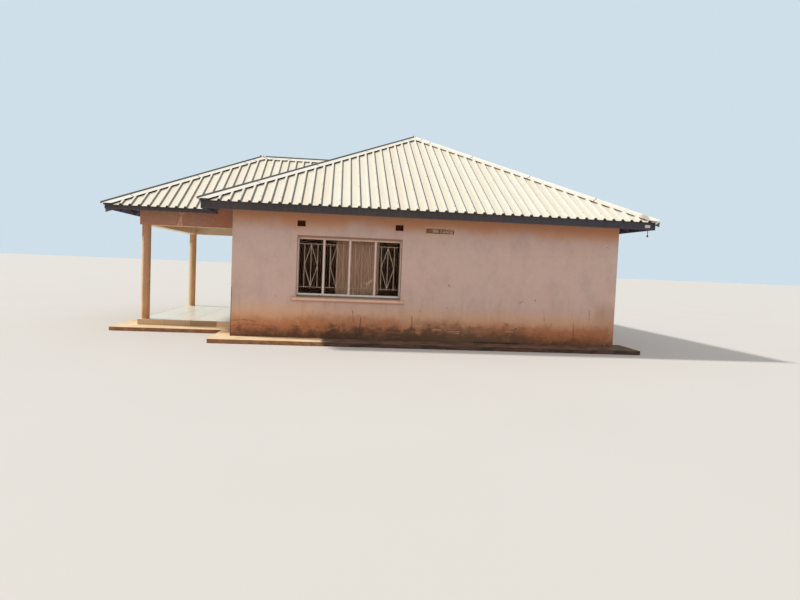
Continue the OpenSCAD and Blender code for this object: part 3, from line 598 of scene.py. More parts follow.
dust = w.patches(place, 1.4, 5.0, 0.6, 0.5, 0.8)
colour = w.tint(w.mix(is_edge, cream, edge_tone), dust, 0.16, (222, 186, 142))
colour = w.mix(joint, colour, (120, 104, 86))
shine = w.plus(w.times(w.math("MAXIMUM", dust, is_edge), 0.35), 0.30)
close_finish(w, colour, w.math("MAXIMUM", shine, w.times(joint, 0.8)), w.minus(1.0, joint),
             0.0015, Specular_IOR_Level=0.3)
paint(material, "verandah_floor")

# %% [markdown]
# ## Box-rib sheets
# The sheets are steel with baked cream paint. The paint chalks unevenly from pan to pan,
# every rib carries painted shade and shadow on its lee side and a painted highlight along its
# top, and rain draws faint brown runs down the slope.
# The ribs run up each slope, so the finish is told which way they run and where one is.

# %% Sheet paint
DIAGONAL = 0.7071
FAR = 9.0
pans_before = 100


def sheet_paint(name, across, rib_at, centre, has_ridge=False):
    """Pan tones from the number of the pan, painted shade and shadow from the distance to the
    rib's lee side, painted shade under the caps, where |x| and |y| from the roof's centre are
    nearly equal, and the grey backing coat where the surface looks down."""
    material, w, place = open_finish(name)
    # a hundred pitches more keep the run positive on the whole roof
    run = w.plus(w.minus(w.axis(place, across), rib_at), rib_pitch * pans_before)
    pan = w.group(tone_group, Along=run, Across=0.0, Spacing=rib_pitch)
    colour = w.tint((249, 242, 225), pan, 0.35, (240, 224, 200))
    drawn = w.stretch(place, *((0.5, 4.0, 0.5) if across == 1 else (4.0, 0.5, 0.5)))
    chalk = w.patches(drawn, 1.6, 5.0, 0.6, 0.38, 0.75)
    colour = w.tint(colour, chalk, 0.30, (236, 212, 182))
    # distance past the middle of the rib on its lee side, from minus half to plus half a pitch
    past = w.math("WRAP", run, rib_pitch / 2, -rib_pitch / 2)
    # painted highlight along the top of each rib
    crest_highlight = w.step(w.math("ABSOLUTE", past), 0.020, 0.014)
    colour = w.tint(colour, crest_highlight, 0.6, (254, 250, 236))
    # painted shade on the rib's lee side and its painted shadow on the pan beside it
    lee_shade = w.times(w.step(past, 0.020, 0.022), w.step(past, 0.054, 0.050))
    colour = w.tint(colour, lee_shade, 0.84, (88, 80, 64))
    windward = w.times(w.step(past, -0.052, -0.038), w.step(past, -0.016, -0.034))
    colour = w.tint(colour, windward, 0.12, (176, 152, 124))
    runs = w.patches(w.stretch(drawn, 2.0, 2.0, 2.0), 2.2, 5.0, 0.65, 0.60, 0.80)
    colour = w.tint(colour, runs, 0.22, (196, 164, 128))
    lap = w.group(lines_group, Distance=w.minus(run, 0.042), Spacing=rib_pitch * 4, Width=0.003)
    colour = w.tint(colour, lap, 0.6, (120, 98, 76))
    # distance to the nearest hip, and where there is one also to the ridge
    offset = w.vector("SUBTRACT", place, centre)
    away = w.vector("ABSOLUTE", offset)
    hip = w.times(w.math("ABSOLUTE", w.minus(w.axis(away, 0), w.axis(away, 1))), DIAGONAL)
    if has_ridge:
        west = w.math("LESS_THAN", w.axis(offset, 0), 0.0)
        hip = w.plus(w.times(w.minus(1.0, west), FAR), hip)
        hip = w.math("MINIMUM", hip, w.plus(w.axis(away, 1), w.times(west, FAR)))
    # painted shade under the caps along the hips, stronger on the left
    more_left = w.times(w.step(w.axis(offset, 0), 0.6, -0.2), 0.74)
    soil = w.times(w.step(hip, 0.164, 0.156), w.plus(more_left, 0.18))
    colour = w.mix(soil, colour, (54, 52, 54))
    facing = w.axis(w.node("NewGeometry").outputs["Normal"], 2)
    colour = w.mix(w.step(facing, -0.1, -0.3), colour, (84, 86, 104))
    dents = w.noise(drawn, 7.0, 4.0, 0.6)
    close_finish(w, colour, w.between(chalk, 0.42, 0.60), w.minus(dents, w.times(lap, 2.0)),
                 0.0015)
    return material


paint(sheet_paint("sheet_paint_front", 0, roof_centre[0], roof_centre),
      "front_roof", "back_roof")
paint(sheet_paint("sheet_paint_side", 1, roof_centre[1], roof_centre), "left_roof", "right_roof")
paint(sheet_paint("sheet_paint_verandah", 0, porch_centre[0] - porch_run, porch_centre, True),
      "verandah_front_roof", "verandah_back_roof")
paint(sheet_paint("sheet_paint_verandah_side", 1, porch_centre[1], porch_centre, True),
      "verandah_side_roof")

# %% [markdown]
# ## Caps and gutters
# The caps over the hips are rolled from the same sheet in lengths of about 1.8 m. Each
# length laps the one below, which leaves a thin dark line square to the hip, and a collar
# ties the top lengths near the apex. The cap at the right front corner is stained where
# the last fixings have rusted.

# %% Cap paint
# measured as |x| plus |y|: a length of 1.8 m along a hip covers 2.4 of it
lap_spacing, first_lap, collar_at, collar_half = 2.4, 0.42, 0.84, 0.016


def cap_paint(name, centre):
    """Lap lines at equal steps of |x| plus |y| from the roof's centre, which grows evenly
    along every hip, one more line at the collar, and painted shade on the lee side of each roll."""
    material, w, place = open_finish(name)
    offset = w.vector("SUBTRACT", place, centre)
    away = w.vector("ABSOLUTE", offset)
    along = w.plus(w.axis(away, 0), w.axis(away, 1))
    lap = w.group(lines_group, Distance=w.minus(along, first_lap), Spacing=lap_spacing,
                  Width=0.026, Soft=0.006)
    lap = w.math("MAXIMUM", lap, w.math("COMPARE", along, collar_at, collar_half))
    each = w.group(tone_group, Along=along, Across=0.0, Spacing=lap_spacing)
    colour = w.mix(each, (253, 250, 240), (250, 242, 224))
    colour = w.tint(colour, w.patches(place, 3.2, 5.0, 0.62, 0.48, 0.80), 0.22, (222, 200, 168))
    rust = soft_box(w, place, (8.775, -0.5, 2.9), (0.05, 0.10, 0.2), 0.05, 0.14, 9.0)
    colour = w.tint(colour, rust, 0.55, (140, 122, 98))
    # painted shade on the roll's lee side: a few centimetres to the right of each roll line in
    # plan
    east, north = w.axis(offset, 0), w.axis(offset, 1)
    no_ridge = w.times(w.math("LESS_THAN", east, 0.1), FAR)
    for off, start in ((w.times(w.minus(east, north), DIAGONAL), -0.014),
                       (w.times(w.plus(east, north), DIAGONAL), 0.004),
                       (w.minus(w.times(north, -1.0), no_ridge), -0.008)):
        lee = w.times(w.step(off, start, start + 0.005), w.step(off, 0.031, 0.026))
        colour = w.tint(colour, lee, 0.92, (58, 60, 62))
    colour = w.tint(colour, lap, 0.75, (112, 98, 82))
    close_finish(w, colour, 0.45, w.minus(w.noise(place, 8.0, 4.0, 0.6), lap), 0.001)
    return material


paint(cap_paint("cap_paint", roof_centre), "hip_caps")
for name in ("verandah_caps", "valley_gutters"):
    paint(cap_paint(name + "_paint", porch_centre), name)

# %% [markdown]
# ## Fascia boards and roof timber
# The fascias are softwood boards under a dark plum paint, sun-faded in streaks, with butt
# joints where two boards meet. The rafters and purlins are rough sawn and brushed with dark
# oil, and their ends outside the walls took the fascia's paint, shown lighter and bluer as
# painted light against the shade under the eaves.

# %% Board finishes
board_long = 3.9


def board_paint(name, joint_from, low, centre):
    """Dark paint, faint grain, sun-faded streaks, board ends and a soiled lower edge. Faces
    that look toward the roof's centre, where normal times offset is negative, are given a
    lighter, bluer plum: painted light that lifts their shade."""
    material, w, place = open_finish(name)
    grain = w.group(grain_group, Place=w.stretch(place, 0.25, 0.25, 3.0), Grain=9.0)
    colour = w.mix(grain, (41, 33, 32), (57, 46, 43))
    worn = w.patches(w.stretch(place, 0.5, 0.5, 2.0), 5.0, 6.0, 0.7, 0.60, 0.80)
    colour = w.tint(colour, worn, 0.40, (104, 88, 84))
    colour = w.tint(colour, w.patches(place, 0.8, 3.0, 0.5, 0.4, 0.7), 0.25, (84, 72, 74))
    fresh = w.step(w.axis(place, 0), corner[0] + 4.5, corner[0] + 8.4)
    colour = w.tint(colour, fresh, 0.75, (44, 41, 54))
    run = w.plus(w.axis(place, 0), w.axis(place, 1))
    joint = w.group(lines_group, Distance=w.minus(run, joint_from - 30 * board_long),
                    Spacing=board_long, Width=0.005, Soft=0.003)
    colour = w.mix(joint, colour, (24, 20, 24))
    lower = w.step(w.plus(w.axis(place, 2), w.times(worn, 0.02)), low + 0.022, low + 0.006)
    colour = w.tint(colour, lower, 0.25, (112, 78, 58))
    # painted light: the faces toward the roof's centre are lifted to a lighter, bluer plum
    facing = w.vector("DOT_PRODUCT", w.node("NewGeometry").outputs["Normal"],
                      w.vector("SUBTRACT", place, centre))
    colour = w.mix(w.step(facing, 0.0, -0.3), colour, (80, 80, 112))
    close_finish(w, colour, 0.62, w.minus(grain, w.times(joint, 3.0)), 0.0012)
    return material


def sawn_timber(name, drawn, indoor_middle, indoor_half):
    """Brown sawn wood, its grain drawn out along the boards. The overhanging ends took the
    fascia's paint, given lighter and bluer as painted light against their shade, and it stops
    at the walls and beams."""
    material, w, place = open_finish(name)
    grain = w.group(grain_group, Place=w.stretch(place, *drawn), Grain=18.0)
    colour = w.mix(grain, (58, 44, 36), (84, 65, 50))
    colour = w.tint(colour, w.patches(place, 1.5, 4.0, 0.6, 0.4, 0.75), 0.4, (92, 78, 66))
    indoors = soft_box(w, place, indoor_middle, indoor_half, 0.03, 0.04, 6.0)
    # painted light: the overhanging ends are a lighter, bluer plum than the fascia, against the
    # shade under the eaves
    colour = w.mix(indoors, w.mix(grain, (84, 84, 108), (102, 102, 124)), colour)
    close_finish(w, colour, 0.85, grain, 0.0015)
    return material


seam = corner[0] + 3.93 + corner[1] - 0.545
for node, coat, joint_from, centre in (
        ("main_fascia", "fascia_paint", seam, roof_centre),
        ("verandah_fascia", "verandah_fascia_paint", seam + 1.2, porch_centre)):
    paint(board_paint(coat, joint_from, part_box(node)[0][2], centre), node)
house_half = (middle, middle, 3.0)
for name, indoor, half, front_timber, side_timber in (
        ("rafter", house_half, house_half, ("front_rafters", "back_rafters"),
         ("left_rafters", "right_rafters", "wall_plates", "hip_rafters")),
        ("verandah", (1.0, porch_mid, 3.0), (3.4, 2.42, 3.0),
         ("verandah_front_rafters", "verandah_back_rafters"),
         ("verandah_side_rafters", "verandah_ridge_board"))):
    paint(sawn_timber(name + "_wood_front", (3.0, 0.25, 3.0), indoor, half), *front_timber)
    paint(sawn_timber(name + "_wood_side", (0.25, 3.0, 3.0), indoor, half), *side_timber)

# %% [markdown]
# ## Windows, door and vents
# The steel windows were painted the colour of the wall, and the paint is chipped to grey
# along the bottom rail where water stands. The panes are plain float glass with a film of
# dust. The door is a varnished panel door in a dark steel frame, and the vents are painted
# dark brown as painted shade in their hollows.

# %% Window steel
steel_edge, mullion = 0.038, 0.056
window_low, window_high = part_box("front_window_frame")
material, w, place = open_finish("window_steel_paint")
chips = w.patches(place, 26.0, 5.0, 0.7, 0.60, 0.68)
colour = w.mix(w.patches(place, 4.0, 4.0, 0.6, 0.3, 0.7), (228, 206, 194), (216, 190, 174))
colour = w.tint(colour, chips, 0.5, (140, 112, 94))
# distance from the middle of the nearest mullion, whose two sides lie in shade
light_pitch = (window_high[0] - window_low[0] - steel_edge * 2 + mullion) / 4
first_mullion = window_low[0] + steel_edge + light_pitch - mullion / 2
off = w.math("WRAP", w.minus(w.axis(place, 0), first_mullion), light_pitch / 2, -light_pitch / 2)
off = w.math("ABSOLUTE", off)
colour = w.tint(colour, w.times(w.step(off, 0.010, 0.017), w.step(off, 0.034, 0.030)), 0.7,
                (132, 96, 78))
# painted warm light on the frame's top band
warm = w.step(w.axis(place, 2), window_high[2] - 0.050, window_high[2] - 0.030)
colour = w.tint(colour, warm, 0.6, (220, 178, 142))
rail = w.step(w.axis(place, 2), window_low[2] + 0.044, window_low[2] + 0.036)
colour = w.mix(rail, colour, w.mix(chips, (206, 204, 198), (150, 144, 136)))
close_finish(w, colour, 0.5, chips, -0.0006)
paint(material, *(wall + "_window_frame" for wall in walls))

# %% Dusty panes
material, w, place = open_finish("window_pane_glass")
film = w.patches(place, 3.0, 5.0, 0.65, 0.40, 0.80)
close_finish(w, (250, 241, 230), w.between(film, 0.0, 0.006), Transmission_Weight=1.0, IOR=1.19,
             Specular_Tint=(1.0, 0.55, 0.36, 1.0))
paint(material, *(wall + "_window_panes" for wall in walls))

# %% Door wood, door steel and vents
material, w, place = open_finish("varnished_door")
grain = w.group(grain_group, Place=w.stretch(place, 3.0, 3.0, 0.25), Grain=16.0)
colour = w.mix(grain, (104, 58, 34), (150, 92, 54))
colour = w.tint(colour, splashed(w, place, 0.7, 0.1, 0.4, 3.0), 0.4, (178, 128, 88))
close_finish(w, colour, 0.38, grain, 0.0006, Coat_Weight=0.3)
paint(material, "door_leaf")

material, w, place = open_finish("door_frame_paint")
chips = w.patches(place, 30.0, 5.0, 0.7, 0.62, 0.70)
close_finish(w, w.tint((58, 50, 56), chips, 0.6, (122, 96, 78)), 0.45, chips, -0.0005)
paint(material, "door_frame")
# painted shade: the vents are dark brown for the shade in their hollows
paint(concrete("vent_shade_brick", (92, 50, 34), (70, 36, 24), (50, 28, 20), 0.0), "air_vents")
print("solids with a finish:", sum(bool(o.data.materials) for o in nodes.values()))

# %% [markdown]
# ## Making new pieces
# Every new piece is a mesh worked out with numpy as whole arrays. Bars, screws and bricks
# repeat one small template many times, so one function copies a template's points to every
# place and numbers the faces of all the copies at once. Two more number the faces of a
# cloth-like grid and of a tube.

# %% Piece makers
def new_piece(name, points, faces, slot, material, smooth=False):
    """Puts points and faces into a mesh object that belongs to the house."""
    mesh = bpy.data.meshes.new(name)
    mesh.from_pydata(np.asarray(points, float).tolist(), [], [list(f) for f in faces])
    mesh.update()
    mesh.polygons.foreach_set("use_smooth", np.full(len(mesh.polygons), smooth))
    mesh.materials.append(material)
    piece = bpy.data.objects.new(name, mesh)
    bpy.context.scene.collection.objects.link(piece)
    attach(piece, "root")
    print(name, "points", len(mesh.vertices), "faces", len(mesh.polygons))
    return piece


def rounded(piece):
    """Rounds a piece's edges by 3 mm."""
    bevel = piece.modifiers.new("rounded edges", "BEVEL")
    bevel.width, bevel.segments = 0.003, 3


def grid_faces(index):
    """Quads (i, j), (i, j + 1), (i + 1, j + 1), (i + 1, j) of a grid of point numbers."""
    return np.stack([index[:-1, :-1], index[:-1, 1:], index[1:, 1:], index[1:, :-1]],
                    -1).reshape(-1, 4).tolist()


def tube_faces(rings, around):
    """Quads between rings of points: point number = ring times around, plus step."""
    index = np.arange(rings * around).reshape(rings, around)
    ahead = np.roll(index, -1, axis=1)
    return np.stack([index[:-1], index[1:], ahead[1:], ahead[:-1]], -1).reshape(-1, 4).tolist()


def copies(points, faces, frames, origins):
    """Each copy is origin + template x frame, and its faces are the template's, shifted."""
    points, frames, origins = (np.asarray(v, float) for v in (points, frames, origins))
    placed = np.einsum("pk,nkd->npd", points, frames) + origins[:, None]
    shift = np.arange(len(origins)) * len(points)
    numbered = [tuple(i + s for i in face) for s in shift.tolist() for face in faces]
    return placed.reshape(-1, 3), numbered


CUBE = np.array([(x, y, z) for x in (-0.5, 0.5) for y in (-0.5, 0.5) for z in (-0.5, 0.5)])
CUBE_FACES = [(0, 1, 3, 2), (4, 6, 7, 5), (0, 4, 5, 1), (2, 3, 7, 6), (0, 2, 6, 4), (1, 5, 7, 3)]


def bars_between(starts, ends, thickness, across):
    """Square bars: the template's long axis is end minus start, the others are across and
    the product of the two, both scaled to the thickness."""
    starts, ends = np.asarray(starts, float), np.asarray(ends, float)
    long = ends - starts
    unit = long / np.linalg.norm(long, axis=1, keepdims=True)
    wide = np.broadcast_to(np.asarray(across, float), long.shape)
    deep = np.cross(unit, wide)
    frames = np.stack([long, wide * thickness, deep * thickness], axis=1)
    return copies(CUBE, CUBE_FACES, frames, (starts + ends) / 2)


# %% [markdown]
# ## Burglar bars
# Behind each light stands a welded panel of 8 mm square bar: a rail near the top, a rail
# near the bottom, two uprights, a middle upright and a diamond whose side points touch the
# uprights. One panel is drawn flat, then copied to every light of every window.

# %% Burglar bar panels
bar, bar_behind, diamond_in = 0.008, 0.045, 0.02
panel_low, panel_high, half_panel = 0.172, 1.098, 0.141
bar_paint, w, place = open_finish("burglar_bar_paint")
chips = w.patches(place, 40.0, 4.0, 0.7, 0.56, 0.66)
colour = w.tint((240, 218, 206), chips, 0.6, (190, 160, 142))
# painted shade: the bars in front of the curtain are darker
shade_before_curtain = soft_box(w, place, (2.66, 0.15, 1.6), (0.46, 0.1, 1.0), 0.01)
colour = w.tint(colour, shade_before_curtain, 0.8, (190, 158, 142))
close_finish(w, colour, 0.55, chips, -0.0005)


def window_bars(wall, lights, along, inward):
    """Bars drawn as pairs of (distance along the wall, height), set behind the panes."""
    low, high = (np.array(c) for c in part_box(wall + "_window_frame"))
    light = (high[along] - low[along] - 2 * steel_edge - (lights - 1) * mullion) / lights
    centres = steel_edge + light / 2 + np.arange(lights) * (light + mullion)
    mid_height = (panel_low + panel_high) / 2
    reach = light / 2 + mullion / 2
    flat = [(-reach, panel_low, reach, panel_low), (-reach, panel_high, reach, panel_high)]
    flat += [(s * half_panel, panel_low, s * half_panel, panel_high) for s in (-1, 0, 1)]
    flat += [(0, end, s * half_panel, mid_height) for s in (-1, 1)
             for end in (panel_low + diamond_in, panel_high - diamond_in)]
    # every panel's own pair of ends: (lights, bars, 2 ends, 2 measures)
    ends = np.tile(np.array(flat).reshape(1, -1, 2, 2), (lights, 1, 1, 1))
    ends[..., 0] += centres[:, None, None]
    ends = ends.reshape(-1, 2, 2)
    depth = 1 - along
    points = np.zeros((*ends.shape[:2], 3))
    points[..., along] = low[along] + ends[..., 0]
    points[..., 2] = low[2] + ends[..., 1]
    points[..., depth] = (high if inward > 0 else low)[depth] + inward * bar_behind
    shape = bars_between(points[:, 0], points[:, 1], bar, np.eye(3)[depth])
    new_piece(wall + "_burglar_bars", *shape, "window_steel", bar_paint)


for wall, lights, along, inward in (("front", 4, 0, 1), ("back", 4, 0, -1), ("right", 4, 1, -1),
                                    ("left", 2, 1, 1)):
    window_bars(wall, lights, along, inward)

# %% [markdown]
# ## Curtains
# A thin beige curtain hangs on a wire inside the front window and covers half of the second
# light and the whole third; the other windows have theirs drawn. A curtain is gathered: the
# cloth is wider than the space it fills, so it folds. The folds are a wave along the wire
# that grows toward the hem, and the cloth's own width is the length of that wave.

# %% Curtain cloth
curtain_off, curtain_top = 0.065, 2.330
cloth, w, place = open_finish("curtain_cloth")
weave = w.times(w.noise(w.stretch(place, 400.0, 400.0, 40.0), 1.0, 2.0, 0.5),
                w.noise(w.stretch(place, 40.0, 40.0, 400.0), 1.0, 2.0, 0.5))
stripe = w.patches(w.stretch(place, 60.0, 60.0, 0.2), 1.0, 2.0, 0.5, 0.35, 0.65)
colour = w.mix(stripe, (166, 134, 121), (192, 160, 144))
faded = soft_box(w, place, (2.65, 0.3, 1.14), (0.6, 0.2, 0.08), 0.12, 0.10, 6.0)
colour = w.tint(colour, faded, 0.45, (176, 162, 148))
for start, end, width in (((2.86, 0.3, 1.27), (2.97, 0.3, 1.37), 0.040),
                          ((2.80, 0.3, 1.30), (2.92, 0.3, 1.32), 0.024),
                          ((2.83, 0.3, 1.19), (2.91, 0.3, 1.29), 0.022)):
    torn = stroke(w, place, start, end, width, 0.008, 30.0)
    colour = w.tint(colour, torn, 0.8, (250, 238, 222))
close_finish(w, colour, 0.9, weave, 0.0004, Sheen_Weight=0.3)

# %% Hanging a curtain
def hang_curtain(name, along, start, end, bottom, wire_ends, inner_face, inward, folds):
    """Depth = swing x sin(turns), with a swing from 14 mm at the wire to 26 mm at the hem."""
    U, V = np.meshgrid(np.linspace(0, 1, 34 * folds + 1), np.linspace(0, 1, 33))
    turns = 2 * np.pi * (folds * U + 0.22 * np.sin(10.7 * U) + 0.05 * np.sin(5 * V))
    swing = 0.014 + 0.012 * V ** 0.7
    axes = {along: start + (end - start) * U + 0.006 * np.sin(turns * 2) * V,
            1 - along: inner_face + inward * curtain_off + swing * np.sin(turns),
            2: curtain_top + (bottom - curtain_top) * V + 0.004 * np.sin(turns + 1) * V}
    grid = np.stack([axes[k] for k in (0, 1, 2)], -1)
    curtain = new_piece(name, at_house(grid.reshape(-1, 3)),
                        grid_faces(np.arange(U.size).reshape(U.shape)), None, cloth, smooth=True)
    thick = curtain.modifiers.new("cloth thickness", "SOLIDIFY")
    thick.thickness, thick.offset = 0.001, 0.0
    # wire along the wall, and a bracket at each end of it, as three square bars
    ends = np.zeros((3, 2, 3))
    ends[0, :, along] = wire_ends
    ends[1:, :, along] = np.array(wire_ends)[:, None]
    ends[0, :, 1 - along] = inner_face + inward * curtain_off
    ends[1:, :, 1 - along] = inner_face, inner_face + inward * (curtain_off + 0.01)
    ends[..., 2] = curtain_top - 0.004
    shape = bars_between(at_house(ends[:, 0]), at_house(ends[:, 1]), bar, (0, 0, 1))
    new_piece(name + "_wire", *shape, "window_steel", bar_paint)


hang_curtain("front_curtain", 0, 2.19, 3.115, 0.930, (1.28, 3.66), wall_thick, 1, 10)
for wall, along, inner_face, inward, folds in (("back", 0, side - wall_thick, -1, 26),
                                               ("right", 1, side - wall_thick, -1, 26),
                                               ("left", 1, wall_thick, 1, 14)):
    low, high = (np.array(c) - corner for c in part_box(wall + "_window_frame"))
    hang_curtain(wall + "_curtain", along, low[along] - 0.04, high[along] + 0.04, low[2] - 0.06,
                 (low[along] - 0.10, high[along] + 0.10), inner_face, inward, folds)

# %% [markdown]
# ## Roofing screws
# Every second rib is screwed through its crown to each purlin, with a hexagon head on a
# washer. The places follow from the roof itself: rib lines across, purlin lines up. A
# template of four small six-sided rings is copied to each place, square to its slope.

# %% Screw template
corners = 6
ring = np.linspace(0, 2 * np.pi, corners, endpoint=False)
levels = [(0.011, 0.0), (0.011, 0.0015), (0.006, 0.002), (0.006, 0.008)]  # radius, height
screw = np.concatenate([np.stack([r * np.cos(ring), r * np.sin(ring), np.full(corners, h)], 1)
                        for r, h in levels])
screw_faces = [(6 * k + i, 6 * k + (i + 1) % 6, 6 * k + 6 + (i + 1) % 6, 6 * k + 6 + i)
               for k in range(len(levels) - 1) for i in range(corners)] + [tuple(range(18, 24))]

# %% Screws on the sheets
cap_clear, purlin_half = 0.30, 0.038
purlin_foot, porch_purlin_foot = 0.225, 0.219
covered_half, covered_narrowing = 2.85, 0.92


def slope_screws(half, rows, row_from, angle):
    """(u, v) on one slope: u counts ribs from its middle line, v the purlins up it; a screw
    stays where the caps leave it free, which is |u| below half minus v's plan length."""
    u = np.arange(-int(half / rib_pitch), int(half / rib_pitch) + 1)[::2] * rib_pitch
    v = row_from + purlin_half + np.arange(rows) * half / math.cos(angle) / rows
    U, V = (a.ravel() for a in np.meshgrid(u, v))
    keep = np.abs(U) < half - V * math.cos(angle) - cap_clear
    return U[keep], V[keep]


def on_slope(u, v, centre, half, low_edge, angle, turn):
    """Slope to house: up the slope by v from its low edge, off it by the crown, then turned
    about the roof's centre."""
    y = v * math.cos(angle) - crown * math.sin(angle) - half
    z = low_edge + v * math.sin(angle) + crown * math.cos(angle)
    c, s = math.cos(turn), math.sin(turn)
    points = np.stack([centre[0] + (u * c - y * s), centre[1] + (u * s + y * c), z], -1)
    normal = np.array([s * math.sin(angle), -c * math.sin(angle), math.cos(angle)])
    up = np.array([-s * math.cos(angle), c * math.cos(angle), math.sin(angle)])
    axes = np.stack([np.cross(up, normal), up, normal])
    return points, np.broadcast_to(axes, (len(points), 3, 3))


U, V = slope_screws(middle + eave, 6, purlin_foot, pitch)
placed = [on_slope(U, V, (middle, middle), middle + eave, eave_z, pitch, k * math.pi / 2)
          for k in range(4)]
# the verandah roof covers a wedge of the left slope, which narrows away from the eave
left, axes = placed[3]
wedge_half = covered_half - (left[:, 0] + eave) * covered_narrowing
covered = np.abs(left[:, 1] - porch_mid) < wedge_half
placed[3] = left[~covered], axes[~covered]
U, V = slope_screws(porch_run, 4, porch_purlin_foot, porch_pitch)
placed.append(on_slope(U, V, (porch_run - porch_deep - porch_eave, porch_mid), porch_run,
                       porch_eave_z, porch_pitch, -math.pi / 2))
screw_steel = speckled("screw_steel", 60.0, 4.0, 0.6, ((170, 160, 144), (128, 96, 70)), 0.5,
                       0.0004, Metallic=0.6)
places, frames = (np.concatenate(part) for part in zip(*placed))
new_piece("roofing_screws", *copies(screw, screw_faces, frames, at_house(places)), "roof_metal",
          screw_steel)

# %% [markdown]
# ## Bared bricks in the slot
# Where the plaster fell off, a row of old bricks and mortar lumps shows behind the face of
# the wall: one whole red brick, a pale broken course, and loose lumps in a dark hollow.
# Each lump is a pillow whose points are pushed about by a few millimetres, and a thin torn
# strip of plaster hangs over the slot's upper and lower edge.

# %% Bricks and lumps
random = np.random.default_rng(7)
lumps = (  # middle x, middle z, width, height
    (4.168, 2.494, 0.122, 0.096), (4.300, 2.498, 0.130, 0.072), (4.420, 2.496, 0.030, 0.090),
    (4.488, 2.482, 0.060, 0.062), (4.556, 2.486, 0.066, 0.056), (4.642, 2.484, 0.086, 0.066))
n = 7
a, b = np.meshgrid(np.linspace(-1, 1, n), np.linspace(-1, 1, n))
# a pillow: depth falls off toward the rim as (1 - a^4)(1 - b^4)
pillow = (1 - a ** 4) * (1 - b ** 4)
lump_index = np.arange(n * n).reshape(n, n)
points, faces = [], []
for k, (x, z, wide_by, high_by) in enumerate(lumps):
    shake = random.uniform(-0.0022, 0.0022, (3, n, n))
    lump = np.stack([x + a * wide_by / 2 + shake[0], 0.027 - 0.022 * pillow + shake[1] * pillow,
                     z + b * high_by / 2 + shake[2]], -1).reshape(-1, 3)
    points.append(lump)
    faces += grid_faces(lump_index + k * n * n)
brick, w, place = open_finish("bared_brick")
red = w.step(w.axis(place, 0), corner[0] + 4.25, corner[0] + 4.22)
tone = w.noise(place, 30.0, 5.0, 0.7)
colour = w.mix(tone, (150, 118, 92), (206, 180, 158))
colour = w.mix(red, colour, w.mix(tone, (110, 74, 56), (152, 112, 90)))
close_finish(w, colour, 0.95, tone, 0.004)
new_piece("bared_bricks", at_house(np.concatenate(points)), faces, "plaster", brick, smooth=True)

# %% Torn edge of the plaster
slot_x, slot_z = (4.0955, 4.7025), (2.4415, 2.5465)
U, V = np.meshgrid(np.linspace(*slot_x, 81), np.linspace(0, 1, 6))
fall = V ** 2 * (3 - 2 * V)
torn_index = np.arange(U.size).reshape(U.shape)
points, faces = [], []
for border, inward, stations, reach in (
        (slot_z[1], -1, (4.09, 4.20, 4.30, 4.36, 4.43, 4.50, 4.60, 4.71),
         (0.024, 0.015, 0.012, 0.003, 0.002, 0.012, 0.022, 0.034)),
        (slot_z[0], 1, (4.09, 4.15, 4.28, 4.40, 4.48, 4.60, 4.71),
         (0.020, 0.012, 0.004, 0.003, 0.010, 0.006, 0.012))):
    # how far the plaster still hangs over the bricks, made uneven by random steps
    hang = np.interp(U[0], stations, reach) + random.uniform(0.0, 0.0055, U.shape[1])
    strip = np.stack([U, 0.0012 + 0.0255 * fall, border + inward * hang * V], -1)
    faces += [quad[::inward] for quad in grid_faces(torn_index + U.size * len(points))]
    points.append(strip.reshape(-1, 3))
new_piece("torn_plaster", at_house(np.concatenate(points)), faces, "plaster",
          plaster("torn_plaster", (190, 150, 128), 0, foot=0, warm=(178, 128, 98)), smooth=True)

# %% [markdown]
# ## Small fixings at the right front corner
# A small pale box is screwed to the fascia near its end, a hook with a rounded end hangs
# under it, and a dark triangular bracket sits under the tip of the hip cap.

# %% Box, hook and bracket
box_paint = speckled("fixing_box_paint", 40.0, 5.0, 0.7, ((226, 214, 210), (170, 150, 146)),
                     0.5, 0.0004)
lid, lid_faces = bars_between(at_house([[8.737, -0.553, 2.774]]),
                              at_house([[8.853, -0.553, 2.774]]), 0.018, (0, 1, 0))
lid = (lid - lid.mean(0)) * (1.0, 0.9, 3.5) + lid.mean(0)
rounded(new_piece("fascia_box", lid, lid_faces, "cap_metal", box_paint))

around = 12
turn = np.linspace(0, 2 * np.pi, around, endpoint=False)
# the hook is a lathe shape: radius against height, from its top down to the rounded end
profile = np.array([(0.001, 2.694), (0.007, 2.692), (0.007, 2.600), (0.008, 2.592),
                    (0.017, 2.578), (0.020, 2.562), (0.015, 2.548), (0.001, 2.542)])
hook = np.stack([8.803 + profile[:, :1] * np.cos(turn), -0.556 + profile[:, :1] * np.sin(turn),
                 np.repeat(profile[:, 1:], around, 1)], -1)
dark_iron = speckled("dark_iron", 50.0, 5.0, 0.7, ((58, 54, 56), (98, 82, 72)), 0.6, 0.0005)
new_piece("hanging_hook", at_house(hook.reshape(-1, 3)), tube_faces(len(profile), around),
          "fascia", dark_iron, smooth=True)

triangle = np.array([(8.925, 2.800), (9.036, 2.875), (9.032, 2.772)])
plate = np.concatenate([np.insert(triangle, 1, y, axis=1) for y in (-0.606, -0.590)])
plate_faces = [(0, 1, 2), (5, 4, 3), (0, 3, 4, 1), (1, 4, 5, 2), (2, 5, 3, 0)]
new_piece("cap_bracket", at_house(plate), plate_faces, "fascia", dark_iron)

# %% [markdown]
# ## Door handle
# The door in the left wall has a lever handle on a long plate, on the side away from its
# hinges. The plate is a thin block with rounded edges, and the lever a bent round bar.

